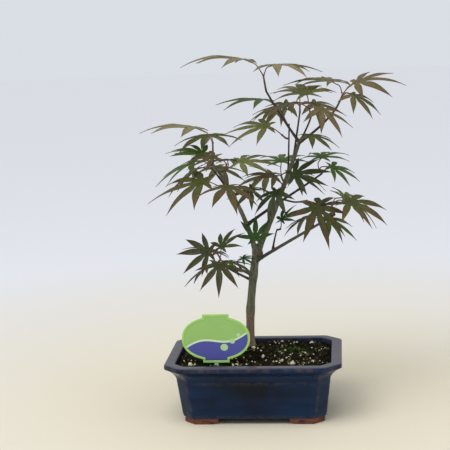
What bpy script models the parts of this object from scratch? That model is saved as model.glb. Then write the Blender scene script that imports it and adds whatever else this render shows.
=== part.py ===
"""A young Japanese maple grown as a bonsai, in its glazed pot with soil and a plate on a stake.

Lengths below are millimetres, with X to the right, Y away from the front and Z up from the table.
They become metres when a mesh is made. The pot's centre is the origin until the last section.
"""

import math

import bmesh
import bpy
import numpy as np
from mathutils import Vector
from mathutils.bvhtree import BVHTree

MM = 0.001
CLEAR = 0.3  # gap between neighbouring solids

# The pot is a rectangle with cut corners. Half length, half width, corner cut and height of each
# level, from the foot ring up the outside, over the lip and down the inside.
POT_HEIGHT = 54.9
LIP_HALF = (77.5, 56.9)
LIP_CUT = 14.0
LIP_FACE = 4.3
LIP_BAND = 9.6
BODY_TOP = (67.3, 46.4, 39.0)
BODY_FOOT = (63.3, 42.3, 5.2)
BODY_CUT = 9.5
WALL = 5.6
FLOOR = 6.0
EDGE_ROUND = 0.7
FOOT_ALONG = (32.0, 24.0)
FOOT_THICK = 8.0
FOOT_RISE = 2.2
DRAIN_RADIUS = 7.0
DRAIN_AT = 28.0
DRAIN_SIDES = 14

SOIL_EDGE = 50.5
SOIL_TOP = 57.0
SOIL_PATCH = 8.5
SOIL_RINGS = 7
SOIL_LUMP = 0.8

PLATE_AT = (-31.5, -36.0)
PLATE_HALF = (29.9, 19.3)
PLATE_SQUARE = 2.2  # power of the oval: 2 is an ellipse, more is squarer
PLATE_MIDDLE = 76.0
PLATE_TAB = (11.6, 21.3)
PLATE_THICK = 1.4
PLATE_LEAN = math.radians(4)
STAKE = (3.4, 1.2, 24.0)

TRUNK_FOOT = (-5.6, 17.0)
TRUNK_FOOT_RADIUS = 5.2
TRUNK_RADIUS = 3.7
TRUNK_SIDES = 12
FLARE_HEIGHT = 9.0
FORK_WIDEN = 1.35
FORK_HEIGHT = 14.0
TRUNK_LEAN = ((-5.6, 17.0, 57.3), (-4.4, 17.0, 90.0), (-0.8, 16.0, 121.0), (3.4, 14.0, 147.8))
TRUNK_KNOTS = ((90.0, 0.14), (122.0, 0.16))
KNOT_HEIGHT = 5.0

# Each limb: the limb it grows from and how far along, its length, its heading and rise in degrees
# at the root and at the tip, and its radius there. A heading turns from +X towards +Y. The two
# that share the trunk's flat top stand beside its middle instead, FORK_APART to either side.
FORK_APART = 2.4
LIMB_STEPS = 4
LIMBS = {
    "left_stem": ("trunk", -FORK_APART, 85, (-155, 75), (-160, 55), 1.9, 1.1),
    "leader": ("trunk", FORK_APART, 100, (15, 65), (0, 70), 2.5, 1.6),
    "top_left_stem": ("leader", 1.0, 55, (-160, 55), (-155, 60), 1.2, 0.9),
    "top_middle_stem": ("leader", 0.95, 30, (60, 50), (-10, 70), 1.0, 0.8),
    "top_right_stem": ("leader", 1.0, 45, (-20, 30), (-15, 50), 1.3, 0.9),
    "top_back_stem": ("leader", 0.85, 50, (85, 40), (75, 60), 1.1, 0.8),
    "red_shoot": ("leader", 0.7, 45, (80, 75), (80, 80), 0.9, 0.7),
    "lower_left_bough": ("trunk", 0.7, 50, (-120, 30), (-140, 10), 1.5, 1.0),
    "lower_right_bough": ("trunk", 0.85, 90, (-35, 30), (-5, 30), 1.7, 1.0),
    "upper_right_bough": ("left_stem", 0.25, 85, (45, 25), (-15, 35), 1.5, 0.9),
    "small_shoot": ("lower_right_bough", 0.25, 20, (-30, 80), (-30, 70), 0.9, 0.7),
    "back_bough": ("leader", 0.5, 40, (75, 15), (105, 15), 1.4, 0.9),
    "back_left_bough": ("left_stem", 0.5, 50, (115, 25), (130, 35), 1.3, 0.9),
    "back_low_bough": ("trunk", 0.65, 40, (125, 5), (140, 15), 1.3, 0.9),
}
LIMB_SPACING = 7.0
LIMB_SIDES = (8, 6)  # for a thick limb and a thin one
THIN_LIMB = 1.2
ROOT_STEP = 0.4

# A leaf's stalk is STALK of its middle lobe's length and points STALK_LIFT above the blade. The
# blade tips to the front, or to the back on the tree's far side, beyond TURNS_BACK.
STALK = 0.4
STALK_LIFT = 30
TURNS_BACK = 40
FAN = ((-60, 0.9, -30), (0, 1.0, 15), (60, 0.9, -30))  # turn, share of the length, pitch
FAN_TIP = 20


def fan(length, heading):
    """Three leaves about a heading, as a shoot ends: a raised one between two that droop."""
    return tuple((length * share, heading + turn, pitch, FAN_TIP) for turn, share, pitch in FAN)


# Each mass: the limb that carries it, how far along, the length, heading and rise of its stem, and
# its leaves. A leaf is its middle lobe's length, its heading and pitch, and how far it tips. Its
# place follows from its stem and stalk, and its lobes vary by a rule with a seed.
MASSES = {
    "foliage_top_left": ("top_left_stem", 1.0, (15, -120, 75), (
        (55, 180, 10, 0), (45, -45, 0, 0))),
    "foliage_inner_left": ("top_left_stem", 0.3, (20, 120, 45), (
        (45, 180, 5, 0), (30, 120, -20, 0))),
    "foliage_top_middle": ("top_middle_stem", 1.0, (40, -90, 15), (
        (40, 105, 20, 20), (40, -165, -10, 0), (35, -45, -30, 0))),
    "foliage_top_right": ("top_right_stem", 1.0, (15, -30, 60), (
        (45, 135, 10, 0), (40, -15, 10, 20), (30, -45, -30, 0))),
    "foliage_top_fork": ("top_right_stem", 0.2, (10, -120, 0), (
        (30, -45, -15, 0),)),
    "foliage_red_shoot": ("red_shoot", 0.7, (20, -105, 15), (
        (40, 180, 0, 20),)),
    "foliage_left_crown": ("left_stem", 0.9, (10, -30, 15), (
        (35, 0, 0, 20), (35, 90, 0, 0))),
    "foliage_far_left": ("left_stem", 1.0, (20, 90, 75), (
        (50, 180, 10, 0), (45, 105, -15, 0))),
    "foliage_left": ("left_stem", 0.95, (10, 120, 15), (
        (30, 165, 20, 20), (40, -165, -20, 0))),
    "foliage_left_low": ("left_stem", 0.8, (25, -75, 40), (
        (30, 180, 0, 20),)),
    "foliage_left_front": ("left_stem", 0.7, (35, -90, 5), (
        (50, 180, -10, 20), (40, -75, -15, 0))),
    "foliage_centre": ("leader", 0.5, (25, -135, 20), (
        (25, -135, -30, 40),)),
    "foliage_centre_right": ("leader", 0.6, (15, -90, 0), (
        (35, 0, 15, 40), (30, -120, -45, 0), (30, -165, 20, 20))),
    "foliage_right_front": ("upper_right_bough", 0.5, (45, -60, 5), (
        (40, -60, -45, 0),)),
    "foliage_fork": ("lower_right_bough", 0.1, (20, -105, 30), (
        (25, 90, 60, 0),)),
    "foliage_small_shoot": ("small_shoot", 1.0, (5, -45, 15), (
        (20, 45, 45, 0),)),
    "foliage_lower_left": ("lower_left_bough", 1.0, (10, -45, 45), (
        (30, 180, 0, 60), (30, -90, -45, 0), (25, 60, 45, 0))),
    "foliage_trunk_left": ("lower_left_bough", 0.35, (10, -150, 60), (
        (15, 0, 0, 20),)),
    "foliage_right": ("lower_right_bough", 1.0, (10, 120, 60), (
        (40, 45, -15, 40), (40, -15, -20, 20))),
    "foliage_right_upper": ("upper_right_bough", 1.0, (5, 180, 45), (
        (30, 0, -20, 20), (35, 75, 15, 0))),
    "foliage_back_top": ("top_back_stem", 1.0, (10, 90, 45), fan(40, 90)),
    "foliage_back": ("back_bough", 1.0, (5, 105, 30), fan(40, 90)),
    "foliage_back_left": ("back_left_bough", 1.0, (5, 135, 30), fan(40, 135)),
    "foliage_back_right": ("lower_right_bough", 0.65, (30, 75, 15), fan(35, 60)),
    "foliage_back_low": ("back_low_bough", 1.0, (5, 135, 30), fan(35, 135)),
}

# A blade has seven lobes. Angle from the middle lobe, length and half width, as shares of the
# middle lobe's length, with the notches between them.
LOBES = ((-125, 0.36, 0.055), (-75, 0.74, 0.085), (-36, 0.93, 0.10), (0, 1.0, 0.105),
         (36, 0.93, 0.10), (75, 0.74, 0.085), (125, 0.36, 0.055))
NOTCHES = ((-100, 0.18), (-55, 0.25), (-18, 0.29), (18, 0.29), (55, 0.25), (100, 0.18))
WIDEST = 0.5
HEEL = 0.09
RIB_DIP = 0.012
RIBBED = 0.8
DROOP = 0.14
BLADE_THICK = 0.014
LEAST_THICK = 0.6
BLADE_ROOM = 0.35
PETIOLE_RADIUS = 0.6
PETIOLE_ROOT = 0.6
PETIOLE_END = 0.4
TWIG_RADIUS = (0.95, 0.75)
TWIG_SAG = 0.04
PETIOLE_BOW = 0.06
SEED = 11
BRONZE_ABOVE = 215.0


def material(name, colour, roughness, metallic=0.0, coat=0.0):
    """A Principled BSDF with one colour."""
    made = bpy.data.materials.new(name)
    made.use_nodes = True
    shader = made.node_tree.nodes["Principled BSDF"]
    shader.inputs["Base Color"].default_value = (*colour, 1.0)
    shader.inputs["Roughness"].default_value = roughness
    shader.inputs["Metallic"].default_value = metallic
    shader.inputs["Coat Weight"].default_value = coat
    made.diffuse_color = (*colour, 1.0)
    return made


def solid(name, points, faces, finish):
    """A closed mesh from points in millimetres, its faces turned outward."""
    mesh = bpy.data.meshes.new(name)
    mesh.from_pydata((np.asarray(points, float) * MM).tolist(), [], [list(face) for face in faces])
    shape = bmesh.new()
    shape.from_mesh(mesh)
    if shape.calc_volume(signed=True) < 0:
        bmesh.ops.reverse_faces(shape, faces=shape.faces)
    shape.to_mesh(mesh)
    shape.free()
    mesh.materials.append(finish)
    made = bpy.data.objects.new(name, mesh)
    bpy.context.scene.collection.objects.link(made)
    return made


def apply_modifiers(piece):
    """The object's mesh becomes what its modifiers make of it."""
    bpy.context.view_layer.update()
    graph = bpy.context.evaluated_depsgraph_get()
    mesh = bpy.data.meshes.new_from_object(piece.evaluated_get(graph))
    piece.modifiers.clear()
    piece.data = mesh


def remove(pieces):
    for piece in pieces:
        bpy.data.objects.remove(piece, do_unlink=True)


def boolean(piece, tools, operation):
    """One Boolean of the piece with a collection of tools, which are then removed."""
    group = bpy.data.collections.new(piece.name + "_tools")
    for tool in tools:
        group.objects.link(tool)
    step = piece.modifiers.new(operation.title(), "BOOLEAN")
    step.operation = operation
    step.operand_type = "COLLECTION"
    step.collection = group
    step.solver = "EXACT"
    apply_modifiers(piece)
    remove(tools)
    bpy.data.collections.remove(group)


def loft(rings, centres=(None, None)):
    """Points and faces of a skin over rings of equal count, each end closed by a fan to a centre."""
    rings = np.asarray(rings, float)
    levels, count = rings.shape[:2]
    points = list(rings.reshape(-1, 3))
    faces = []
    for level in range(levels - 1):
        for side in range(count):
            a = level * count + side
            b = level * count + (side + 1) % count
            faces += [(a, b, b + count), (a, b + count, a + count)]
    for ring, first, turned in ((0, centres[0], True), (levels - 1, centres[1], False)):
        points.append(rings[ring].mean(axis=0) if first is None else np.asarray(first, float))
        for side in range(count):
            a = ring * count + side
            b = ring * count + (side + 1) % count
            faces.append((b, a, len(points) - 1) if turned else (a, b, len(points) - 1))
    return points, faces


def cut_rectangle(half_x, half_y, cut, z, ease=1.6):
    """Sixteen points round a rectangle with cut corners, each new corner eased by two points."""
    corners = []
    for sx, sy, along in ((1, -1, 1), (1, 1, 0), (-1, 1, 1), (-1, -1, 0)):
        pair = [(sx * (half_x - cut), sy * half_y), (sx * half_x, sy * (half_y - cut))]
        corners += pair if along else pair[::-1]
    points = []
    for i, corner in enumerate(corners):
        here = np.array(corner)
        for other in (corners[i - 1], corners[(i + 1) % 8]):
            way = np.array(other) - here
            points.append((*(here + way / np.linalg.norm(way) * ease), z))
    return points


def smooth_path(points, spacing, least=2):
    """Points about a spacing apart on a Catmull-Rom curve through the given ones."""
    given = np.asarray(points, float)
    ends = np.vstack([2 * given[0] - given[1], given, 2 * given[-1] - given[-2]])
    path = [given[0]]
    for i in range(len(given) - 1):
        a, b, c, d = ends[i:i + 4]
        steps = max(least, round(np.linalg.norm(c - b) / spacing))
        for t in np.arange(1, steps + 1) / steps:
            path.append(0.5 * (2 * b + (c - a) * t + (2 * a - 5 * b + 4 * c - d) * t * t
                               + (3 * b - a - 3 * c + d) * t ** 3))
    return np.array(path)


def tube_rings(path, radii, sides):
    """A ring round each point of the path, square to it and carried along without twist."""
    path = np.asarray(path, float)
    along = np.gradient(path, axis=0)
    along /= np.linalg.norm(along, axis=1)[:, None]
    side = np.cross(along[0], (0.31, 0.95, 0.05))
    rings = []
    for point, way, radius in zip(path, along, radii):
        side = side - way * side.dot(way)
        side /= np.linalg.norm(side)
        up = np.cross(way, side)
        turn = 2 * math.pi * np.arange(sides) / sides
        rings.append(point + radius * (np.outer(np.cos(turn), side) + np.outer(np.sin(turn), up)))
    return np.array(rings)


def way_of(heading, rise):
    """The unit vector with a heading and a rise in degrees."""
    heading, rise = math.radians(heading), math.radians(rise)
    return np.array([math.cos(heading) * math.cos(rise), math.sin(heading) * math.cos(rise),
                     math.sin(rise)])


def place_along(limb, share):
    """The point a share of the way along a limb's course."""
    course = courses[limb]
    gone = np.concatenate([[0], np.cumsum(np.linalg.norm(np.diff(course, axis=0), axis=1))])
    return np.array([np.interp(share * gone[-1], gone, course[:, k]) for k in range(3)])


def grow_course(name):
    """Points of a limb's centre line, grown in equal steps as its heading and rise change evenly."""
    parent, seat, length, root, tip = LIMBS[name][:5]
    if abs(seat) == FORK_APART:
        course = [courses[parent][-1] + (seat, 0, CLEAR)]
    else:
        course = [place_along(parent, seat)]
    for step in range(LIMB_STEPS):
        turn = np.array(root) + (np.array(tip) - root) * (step + 0.5) / LIMB_STEPS
        course.append(course[-1] + length / LIMB_STEPS * way_of(*turn))
    return np.array(course)


def distance_out(limb, points):
    """How far points lie outside a limb, from its centre line and radius."""
    path, radii = limb
    start, way = path[:-1], np.diff(path, axis=0)
    offset = points[:, None] - start
    share = np.clip((offset * way).sum(-1) / (way ** 2).sum(-1), 0, 1)
    gap = np.linalg.norm(offset - share[..., None] * way, axis=-1)
    return (gap - radii[:-1] - share * np.diff(radii)).min(axis=1)


def seated_tube(points, radii, sides, parent, spacing):
    """Rings and root centre of a tube whose root follows the surface of the limb that carries it.

    Each line along the tube, and its axis, starts where it is the clearance away from the parent.
    """
    fine = smooth_path(points, ROOT_STEP)
    share = np.linspace(0, 1, len(fine))
    rings = tube_rings(fine, radii[0] + (radii[1] - radii[0]) * share, sides)
    lines = np.concatenate([rings, fine[:, None]], axis=1)
    root = []
    first = 0
    for line in range(sides + 1):
        out = distance_out(parent, lines[:, line])
        inside = np.nonzero(out[:len(fine) - 2] < CLEAR)[0][-1]
        reach = (CLEAR - out[inside]) / (out[inside + 1] - out[inside])
        root.append(lines[inside, line] + reach * (lines[inside + 1, line] - lines[inside, line]))
        first = max(first, inside + 1)
    length = (len(fine) - 1 - first) * ROOT_STEP
    picks = np.linspace(first, len(fine) - 1, max(2, round(length / spacing)) + 1)[1:].astype(int)
    return np.concatenate([[root[:sides]], rings[picks]]), root[sides]


def domed(rings, path, radii):
    """The rings with a short rounded tip added."""
    way = path[-1] - path[-2]
    way = way / np.linalg.norm(way)
    tip = path[-1]
    shoulder = tip + (rings[-1] - tip) * 0.7 + way * radii[-1] * 0.7
    return np.concatenate([rings, [shoulder]]), tip + way * radii[-1]


def make_limb(name, finish):
    """A tapering limb, seated on its parent or standing on the fork's flat top."""
    parent, seat = LIMBS[name][:2]
    root_radius, tip_radius = LIMBS[name][5:]
    points = courses[name] = grow_course(name)
    sides = LIMB_SIDES[root_radius <= THIN_LIMB]
    path = smooth_path(points, LIMB_SPACING)
    radii = np.linspace(root_radius, tip_radius, len(path))
    if abs(seat) != FORK_APART:
        rings, root = seated_tube(points, (root_radius, tip_radius), sides, limb_lines[parent],
                                  LIMB_SPACING)
    else:
        rings = tube_rings(path, radii, sides)
        rings[0, :, 2] = points[0][2]
        root = points[0]
    rings, tip = domed(rings, path, radii)
    limb_lines[name] = (path, radii)
    return solid(name, *loft(rings, (root, tip)), finish)


def make_trunk(finish):
    """A leaning stem with a lobed root flare, two old knots, and a wide flat top for the fork."""
    path = smooth_path(TRUNK_LEAN, 7.5)
    low, high = path[0, 2], path[-1, 2]
    turn = 2 * math.pi * np.arange(TRUNK_SIDES) / TRUNK_SIDES
    rings = []
    radii = []
    for x, y, z in path:
        flare = max(0.0, 1 - (z - low) / FLARE_HEIGHT) ** 2
        radius = TRUNK_RADIUS * (1.03 - 0.08 * (z - low) / (high - low))
        for knot, swell in TRUNK_KNOTS:
            radius *= 1 + swell * math.exp(-((z - knot) / KNOT_HEIGHT) ** 2)
        radius += (TRUNK_FOOT_RADIUS - TRUNK_RADIUS) * flare
        around = radius * (1 + 0.16 * flare * np.cos(5 * turn + 0.6))
        fork = 1 + (FORK_WIDEN - 1) * max(0.0, 1 - (high - z) / FORK_HEIGHT) ** 1.5
        rings.append(np.stack([x + around * np.cos(turn) * fork, y + around * np.sin(turn),
                               np.full(TRUNK_SIDES, z)], axis=1))
        radii.append(radius)
    limb_lines["trunk"] = (path, np.array(radii))
    return solid("trunk", *loft(rings), finish)


def inside_half(z):
    """Half length and half width of the pot's inside at a height."""
    low, high = BODY_FOOT[2] + FLOOR, BODY_TOP[2] + 5.0
    share = (z - low) / (high - low)
    foot = np.array(BODY_FOOT[:2]) - WALL
    top = np.array(BODY_TOP[:2]) - WALL
    if share <= 1:
        return foot + (top - foot) * share
    mouth = np.array(LIP_HALF) - LIP_BAND
    return top + (mouth - top) * min(1.0, (z - high) / (POT_HEIGHT - high))


def make_pot(finish):
    """One fired body: tapered wall, hollow cove under an overhanging lip, floor and corner feet."""
    top, foot = np.array(BODY_TOP[:2]), np.array(BODY_FOOT[:2])
    lip = np.array(LIP_HALF)
    under_lip = POT_HEIGHT - LIP_FACE
    levels = [(foot - 0.9, BODY_CUT - 0.3, BODY_FOOT[2]), (foot, BODY_CUT, BODY_FOOT[2] + 0.9)]
    levels += [(top, BODY_CUT, BODY_TOP[2])]
    for share in (0.25, 0.5, 0.75, 0.96):
        bow = 1 - math.sqrt(1 - share * share)
        half = top + (lip - 0.7 - top) * bow
        cut = BODY_CUT + (LIP_CUT - BODY_CUT) * bow
        levels.append((half, cut, BODY_TOP[2] + (under_lip - BODY_TOP[2]) * share))
    levels += [(lip - EDGE_ROUND, LIP_CUT, under_lip), (lip, LIP_CUT, under_lip + EDGE_ROUND),
               (lip, LIP_CUT, POT_HEIGHT - EDGE_ROUND), (lip - EDGE_ROUND, LIP_CUT, POT_HEIGHT)]
    band = lip - LIP_BAND
    levels += [(band + EDGE_ROUND, BODY_CUT, POT_HEIGHT), (band, BODY_CUT, POT_HEIGHT - EDGE_ROUND)]
    for z in (BODY_TOP[2] + 5.0, BODY_FOOT[2] + FLOOR):
        levels.append((inside_half(z), BODY_CUT - 2.0, z))
    rings = [cut_rectangle(*half, cut, z) for half, cut, z in levels]
    pot = solid("pot", *loft(rings), finish)
    boolean(pot, [make_foot(sx, sy, finish) for sx in (-1, 1) for sy in (-1, 1)], "UNION")
    drains = []
    turn = 2 * math.pi * np.arange(DRAIN_SIDES) / DRAIN_SIDES
    for x in (-DRAIN_AT, DRAIN_AT):
        disc = np.stack([x + DRAIN_RADIUS * np.cos(turn), DRAIN_RADIUS * np.sin(turn)], axis=1)
        rings = [np.column_stack([disc, np.full(DRAIN_SIDES, z)])
                 for z in (0.0, BODY_FOOT[2] + FLOOR + 4)]
        drains.append(solid("drain", *loft(rings), finish))
    boolean(pot, drains, "DIFFERENCE")
    return pot


def make_foot(sx, sy, finish):
    """A foot bent round one cut corner, its underside rising to both ends."""
    half = np.array(BODY_FOOT[:2]) - 1.6
    outer = [(half[0] + 1.6 - FOOT_ALONG[0], half[1]), (half[0] + 7 - FOOT_ALONG[0], half[1]),
             (half[0] - BODY_CUT, half[1]), (half[0], half[1] - BODY_CUT),
             (half[0], half[1] + 7 - FOOT_ALONG[1]), (half[0], half[1] + 1.6 - FOOT_ALONG[1])]
    inner_half = half - FOOT_THICK
    cut = BODY_CUT - FOOT_THICK * 0.4
    inner = [(outer[0][0], inner_half[1]), (outer[1][0], inner_half[1]),
             (inner_half[0] - cut, inner_half[1]), (inner_half[0], inner_half[1] - cut),
             (inner_half[0], outer[4][1]), (inner_half[0], outer[5][1])]
    rise = (FOOT_RISE, 0, 0, 0, 0, FOOT_RISE)
    top = BODY_FOOT[2] + 1.5
    rings = []
    for (ox, oy), (ix, iy), low in zip(outer, inner, rise):
        rings.append([(sx * ox, sy * oy, low), (sx * ox, sy * oy, top),
                      (sx * ix, sy * iy, top), (sx * ix, sy * iy, low)])
    return solid("foot", *loft(rings), finish)


def make_soil(finish, random):
    """Packed soil that fills the pot to just under the lip and mounds up to a flat patch."""
    floor = BODY_FOOT[2] + FLOOR
    slack = 1.25 * CLEAR
    sides = [(inside_half(z) - slack, z) for z in (floor, BODY_TOP[2] + 5.0, SOIL_EDGE)]
    sides[0] = (sides[0][0], floor + CLEAR)
    rings = [np.array(cut_rectangle(*half, BODY_CUT - 2.0, z)) for half, z in sides]
    edge = rings[-1]
    way = edge[:, :2] - TRUNK_FOOT
    patch = TRUNK_FOOT + way / np.linalg.norm(way, axis=1)[:, None] * SOIL_PATCH
    for share in np.arange(1, SOIL_RINGS + 1) / SOIL_RINGS:
        spot = edge[:, :2] * (1 - share) + patch * share
        z = SOIL_EDGE + (SOIL_TOP - SOIL_EDGE) * math.sin(share * math.pi / 2) ** 1.2
        lump = SOIL_LUMP * random.uniform(-1, 1, len(spot)) * (share < 1)
        rings.append(np.column_stack([spot, z + lump]))
    soil = solid("soil", *loft(rings), finish)
    slot = bar("slot", CLEAR, STAKE[2], SOIL_TOP - SOIL_EDGE + 6, finish)
    boolean(soil, [slot], "DIFFERENCE")
    return soil


def leaned(points):
    """Points of the plate or its stake tipped back about the line where the stake enters the soil."""
    points = np.asarray(points, float)
    foot = np.array([*PLATE_AT, SOIL_EDGE])
    local = points - foot
    back = local[:, 1] * math.cos(PLATE_LEAN) + local[:, 2] * math.sin(PLATE_LEAN)
    up = local[:, 2] * math.cos(PLATE_LEAN) - local[:, 1] * math.sin(PLATE_LEAN)
    return foot + np.column_stack([local[:, 0], back, up])


def bar(name, room, deep, above, finish):
    """The stake's bar, with room all round, from a depth under the soil's edge to a height above."""
    half = np.array([STAKE[0] / 2 + room, STAKE[1] / 2 + room])
    ring = PLATE_AT + np.array([(-1, -1), (1, -1), (1, 1), (-1, 1)]) * half
    rings = [leaned(np.column_stack([ring, np.full(4, SOIL_EDGE + z)])) for z in (-deep, above)]
    return solid(name, *loft(rings), finish)


def make_plate(finish, clear_plastic):
    """An oval plate with a square tab above and below, on a flat clear stake."""
    outline = []
    tab, reach = PLATE_TAB
    power = 2 / PLATE_SQUARE
    inner = math.acos((tab / PLATE_HALF[0]) ** (1 / power))
    for middle in (math.pi / 2, 1.5 * math.pi):
        sign = 1 if middle < 2 else -1
        outline += [(sign * tab, sign * reach), (-sign * tab, sign * reach)]
        for turn in np.linspace(middle + math.pi / 2 - inner, middle + math.pi / 2 + inner, 9):
            outline.append([half * math.copysign(abs(share) ** power, share) for half, share
                            in zip(PLATE_HALF, (math.cos(turn), math.sin(turn)))])
    rings = []
    for y in (-PLATE_THICK / 2, PLATE_THICK / 2):
        rings.append(leaned([(PLATE_AT[0] + u, PLATE_AT[1] + y, PLATE_MIDDLE + v) for u, v in outline]))
    plate = solid("label_plate", *loft(rings), finish)
    top = PLATE_MIDDLE - PLATE_TAB[1] - CLEAR - SOIL_EDGE
    return plate, bar("label_stake", 0.0, STAKE[2] - 1.0, top, clear_plastic)


def leaf_axes(heading, pitch, roll):
    """Unit vectors of a blade: along its middle lobe, to its left, and up from its face."""
    heading, pitch, roll = (math.radians(turn) for turn in (heading, pitch, roll))
    along = np.array([math.cos(heading) * math.cos(pitch), math.sin(heading) * math.cos(pitch),
                      math.sin(pitch)])
    level = np.array([-math.sin(heading), math.cos(heading), 0.0])
    above = np.cross(along, level)
    left = math.cos(roll) * level + math.sin(roll) * above
    return np.array([along, left, np.cross(along, left)])


def blade(foot, length, axes, random, room=0.0):
    """Points and faces of one blade, a thin closed sheet over its lobes that droops to its tips."""
    thick = max(LEAST_THICK, BLADE_THICK * length)
    rows = []
    for angle, reach, half in LOBES:
        turn = math.radians(angle + random.uniform(-4, 4))
        rows.append((turn, reach * random.uniform(0.94, 1.05), half, DROOP * random.uniform(0.6, 1.4)))
    flat = [(0.0, 0.0, 0.0), (-HEEL, 0.0, 0.0)]
    faces = []
    notches = [1]
    for angle, reach in NOTCHES:
        turn = math.radians(angle)
        flat.append((reach * math.cos(turn), reach * math.sin(turn), -DROOP * reach ** 2))
        notches.append(len(flat) - 1)
    notches.append(1)
    rim = [1]
    for i, (turn, reach, half, droop) in enumerate(rows):
        way = np.array([math.cos(turn), math.sin(turn)])
        side = np.array([-way[1], way[0]])
        widest = reach * WIDEST
        first = len(flat)
        for spot, far in ((way * widest - side * half, widest), (way * reach, reach),
                          (way * widest + side * half, widest)):
            flat.append((*spot, -droop * far ** 2))
        a, tip, b = range(first, first + 3)
        before, after = notches[i], notches[i + 1]
        if reach > RIBBED:
            rib = len(flat)
            flat.append((*(way * widest), -droop * widest ** 2 - RIB_DIP))
            faces += [(0, before, rib), (before, a, rib), (a, tip, rib),
                      (rib, tip, b), (rib, b, after), (0, rib, after)]
        else:
            faces += [(0, before, a), (0, a, b), (a, tip, b), (0, b, after)]
        rim += [a, tip, b] + ([after] if after != 1 else [])
    flat = np.array(flat) * length
    top = flat + (0, 0, thick / 2 + room)
    bottom = flat - (0, 0, thick / 2 + room)
    count = len(flat)
    skin = list(faces) + [(c + count, b + count, a + count) for a, b, c in faces]
    for a, b in zip(rim, rim[1:] + rim[:1]):
        skin += [(b, a, a + count), (b, a + count, b + count)]
    return np.asarray(foot, float) + np.vstack([top, bottom]) @ axes, skin


def petiole(start, way, foot, axes):
    """Rings of a thin stalk from inside the twig's end to inside the blade's heel."""
    start, foot = np.asarray(start, float), np.asarray(foot, float)
    span = np.linalg.norm(foot - start)
    lift = start + way * span * 0.25 + np.array([0, 0, PETIOLE_BOW * span])
    near = foot - (axes[0] + 0.25 * axes[2]) * min(0.3 * span, 6.0)
    points = [start, (lift + near) / 2, near, foot - axes[0] * PETIOLE_END]
    path = smooth_path(points, span, least=1)
    return tube_rings(path, np.full(len(path), PETIOLE_RADIUS), 3)


def tree_of(shape):
    """A search tree over a shape's faces."""
    return BVHTree.FromPolygons([Vector(point) for point in shape[0]], shape[1])


def touches(shape, others):
    """Whether a shape's faces cross those of any other."""
    tree = tree_of(shape)
    return any(tree.overlap(other) for other in others)


def make_mass(name, number, stalk_finish, leaf_finish):
    """A twig off its limb with petioles and blades, fused into one solid.

    A leaf that would cross a limb or another mass's leaf is left out.
    """
    limb, share, (span, heading, rise), leaves = MASSES[name]
    way = way_of(heading, rise)
    start = place_along(limb, share)
    end = start + span * way
    sag = (start + end) / 2 - np.array([0, 0, TWIG_SAG * span])
    rings, root = seated_tube((start, sag, end), TWIG_RADIUS, 5, limb_lines[limb], 8.0)
    rings, tip = domed(rings, np.array([sag, end]), TWIG_RADIUS)
    twig = loft(rings, (root, tip))
    random = np.random.default_rng(SEED + number)
    taken = [tree_of(twig)]
    parts = [twig]
    for order, (length, heading, pitch, tilt) in enumerate(leaves):
        root_at = end - way * (PETIOLE_ROOT + 0.7 * order)
        draw = random.integers(1 << 30)
        foot = end + STALK * length * way_of(heading, pitch + STALK_LIFT)
        facing = 1 if foot[1] < TURNS_BACK else -1
        axes = leaf_axes(heading, pitch, tilt * facing * math.cos(math.radians(heading)))
        wide = blade(foot, length, axes, np.random.default_rng(draw), BLADE_ROOM)
        stalk = loft(petiole(root_at, way, foot, axes))
        if touches(wide, placed + taken) or touches(stalk, placed):
            continue
        parts += [stalk, blade(foot, length, axes, np.random.default_rng(draw))]
        taken.append(tree_of(wide))
    placed.extend(taken)
    placed.extend(tree_of(part) for part in parts[1:])
    made = [solid(name, *parts[0], leaf_finish)]
    made += [solid(name + "_part", *part, leaf_finish) for part in parts[1:]]
    boolean(made[0], made[1:], "UNION")
    return made[0]


for old in list(bpy.data.objects):
    bpy.data.objects.remove(old, do_unlink=True)

glaze = material("cobalt_glaze", (0.03, 0.06, 0.22), 0.15, coat=0.6)
earth = material("dark_soil", (0.05, 0.035, 0.025), 0.95)
bark = material("brown_bark", (0.16, 0.11, 0.08), 0.8)
twig_bark = material("red_brown_twig", (0.2, 0.08, 0.06), 0.6)
green_leaf = material("green_leaf", (0.16, 0.27, 0.06), 0.5)
bronze_leaf = material("bronze_leaf", (0.3, 0.17, 0.12), 0.5)
plate_green = material("lime_plastic", (0.35, 0.6, 0.12), 0.35)
clear_plastic = material("clear_plastic", (0.8, 0.85, 0.85), 0.1)

courses = {"trunk": np.array(TRUNK_LEAN)}
limb_lines = {}
placed = []
chance = np.random.default_rng(SEED)

pieces = [make_pot(glaze), make_soil(earth, chance)]
pieces += make_plate(plate_green, clear_plastic)
pieces.append(make_trunk(bark))
for limb_name in LIMBS:
    pieces.append(make_limb(limb_name, bark if LIMBS[limb_name][5] > THIN_LIMB else twig_bark))
for piece in pieces:
    mesh = piece.data
    corners = [vertex.co / MM for vertex in mesh.vertices]
    placed.append(BVHTree.FromPolygons(corners, [face.vertices[:] for face in mesh.polygons]))
for number, mass_name in enumerate(MASSES):
    finish = bronze_leaf if place_along(*MASSES[mass_name][:2])[2] > BRONZE_ABOVE else green_leaf
    pieces.append(make_mass(mass_name, number, twig_bark, finish))

# The footprint's middle comes to the origin, and round pieces are shaded smooth.
corners = np.array([vertex.co for piece in pieces for vertex in piece.data.vertices])
middle = (corners.min(axis=0) + corners.max(axis=0)) / 2
for piece in pieces:
    for vertex in piece.data.vertices:
        vertex.co.x -= middle[0]
        vertex.co.y -= middle[1]
    piece.data.shade_smooth()
    piece.data.set_sharp_from_angle(angle=math.radians(35))
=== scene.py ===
import math

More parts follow.
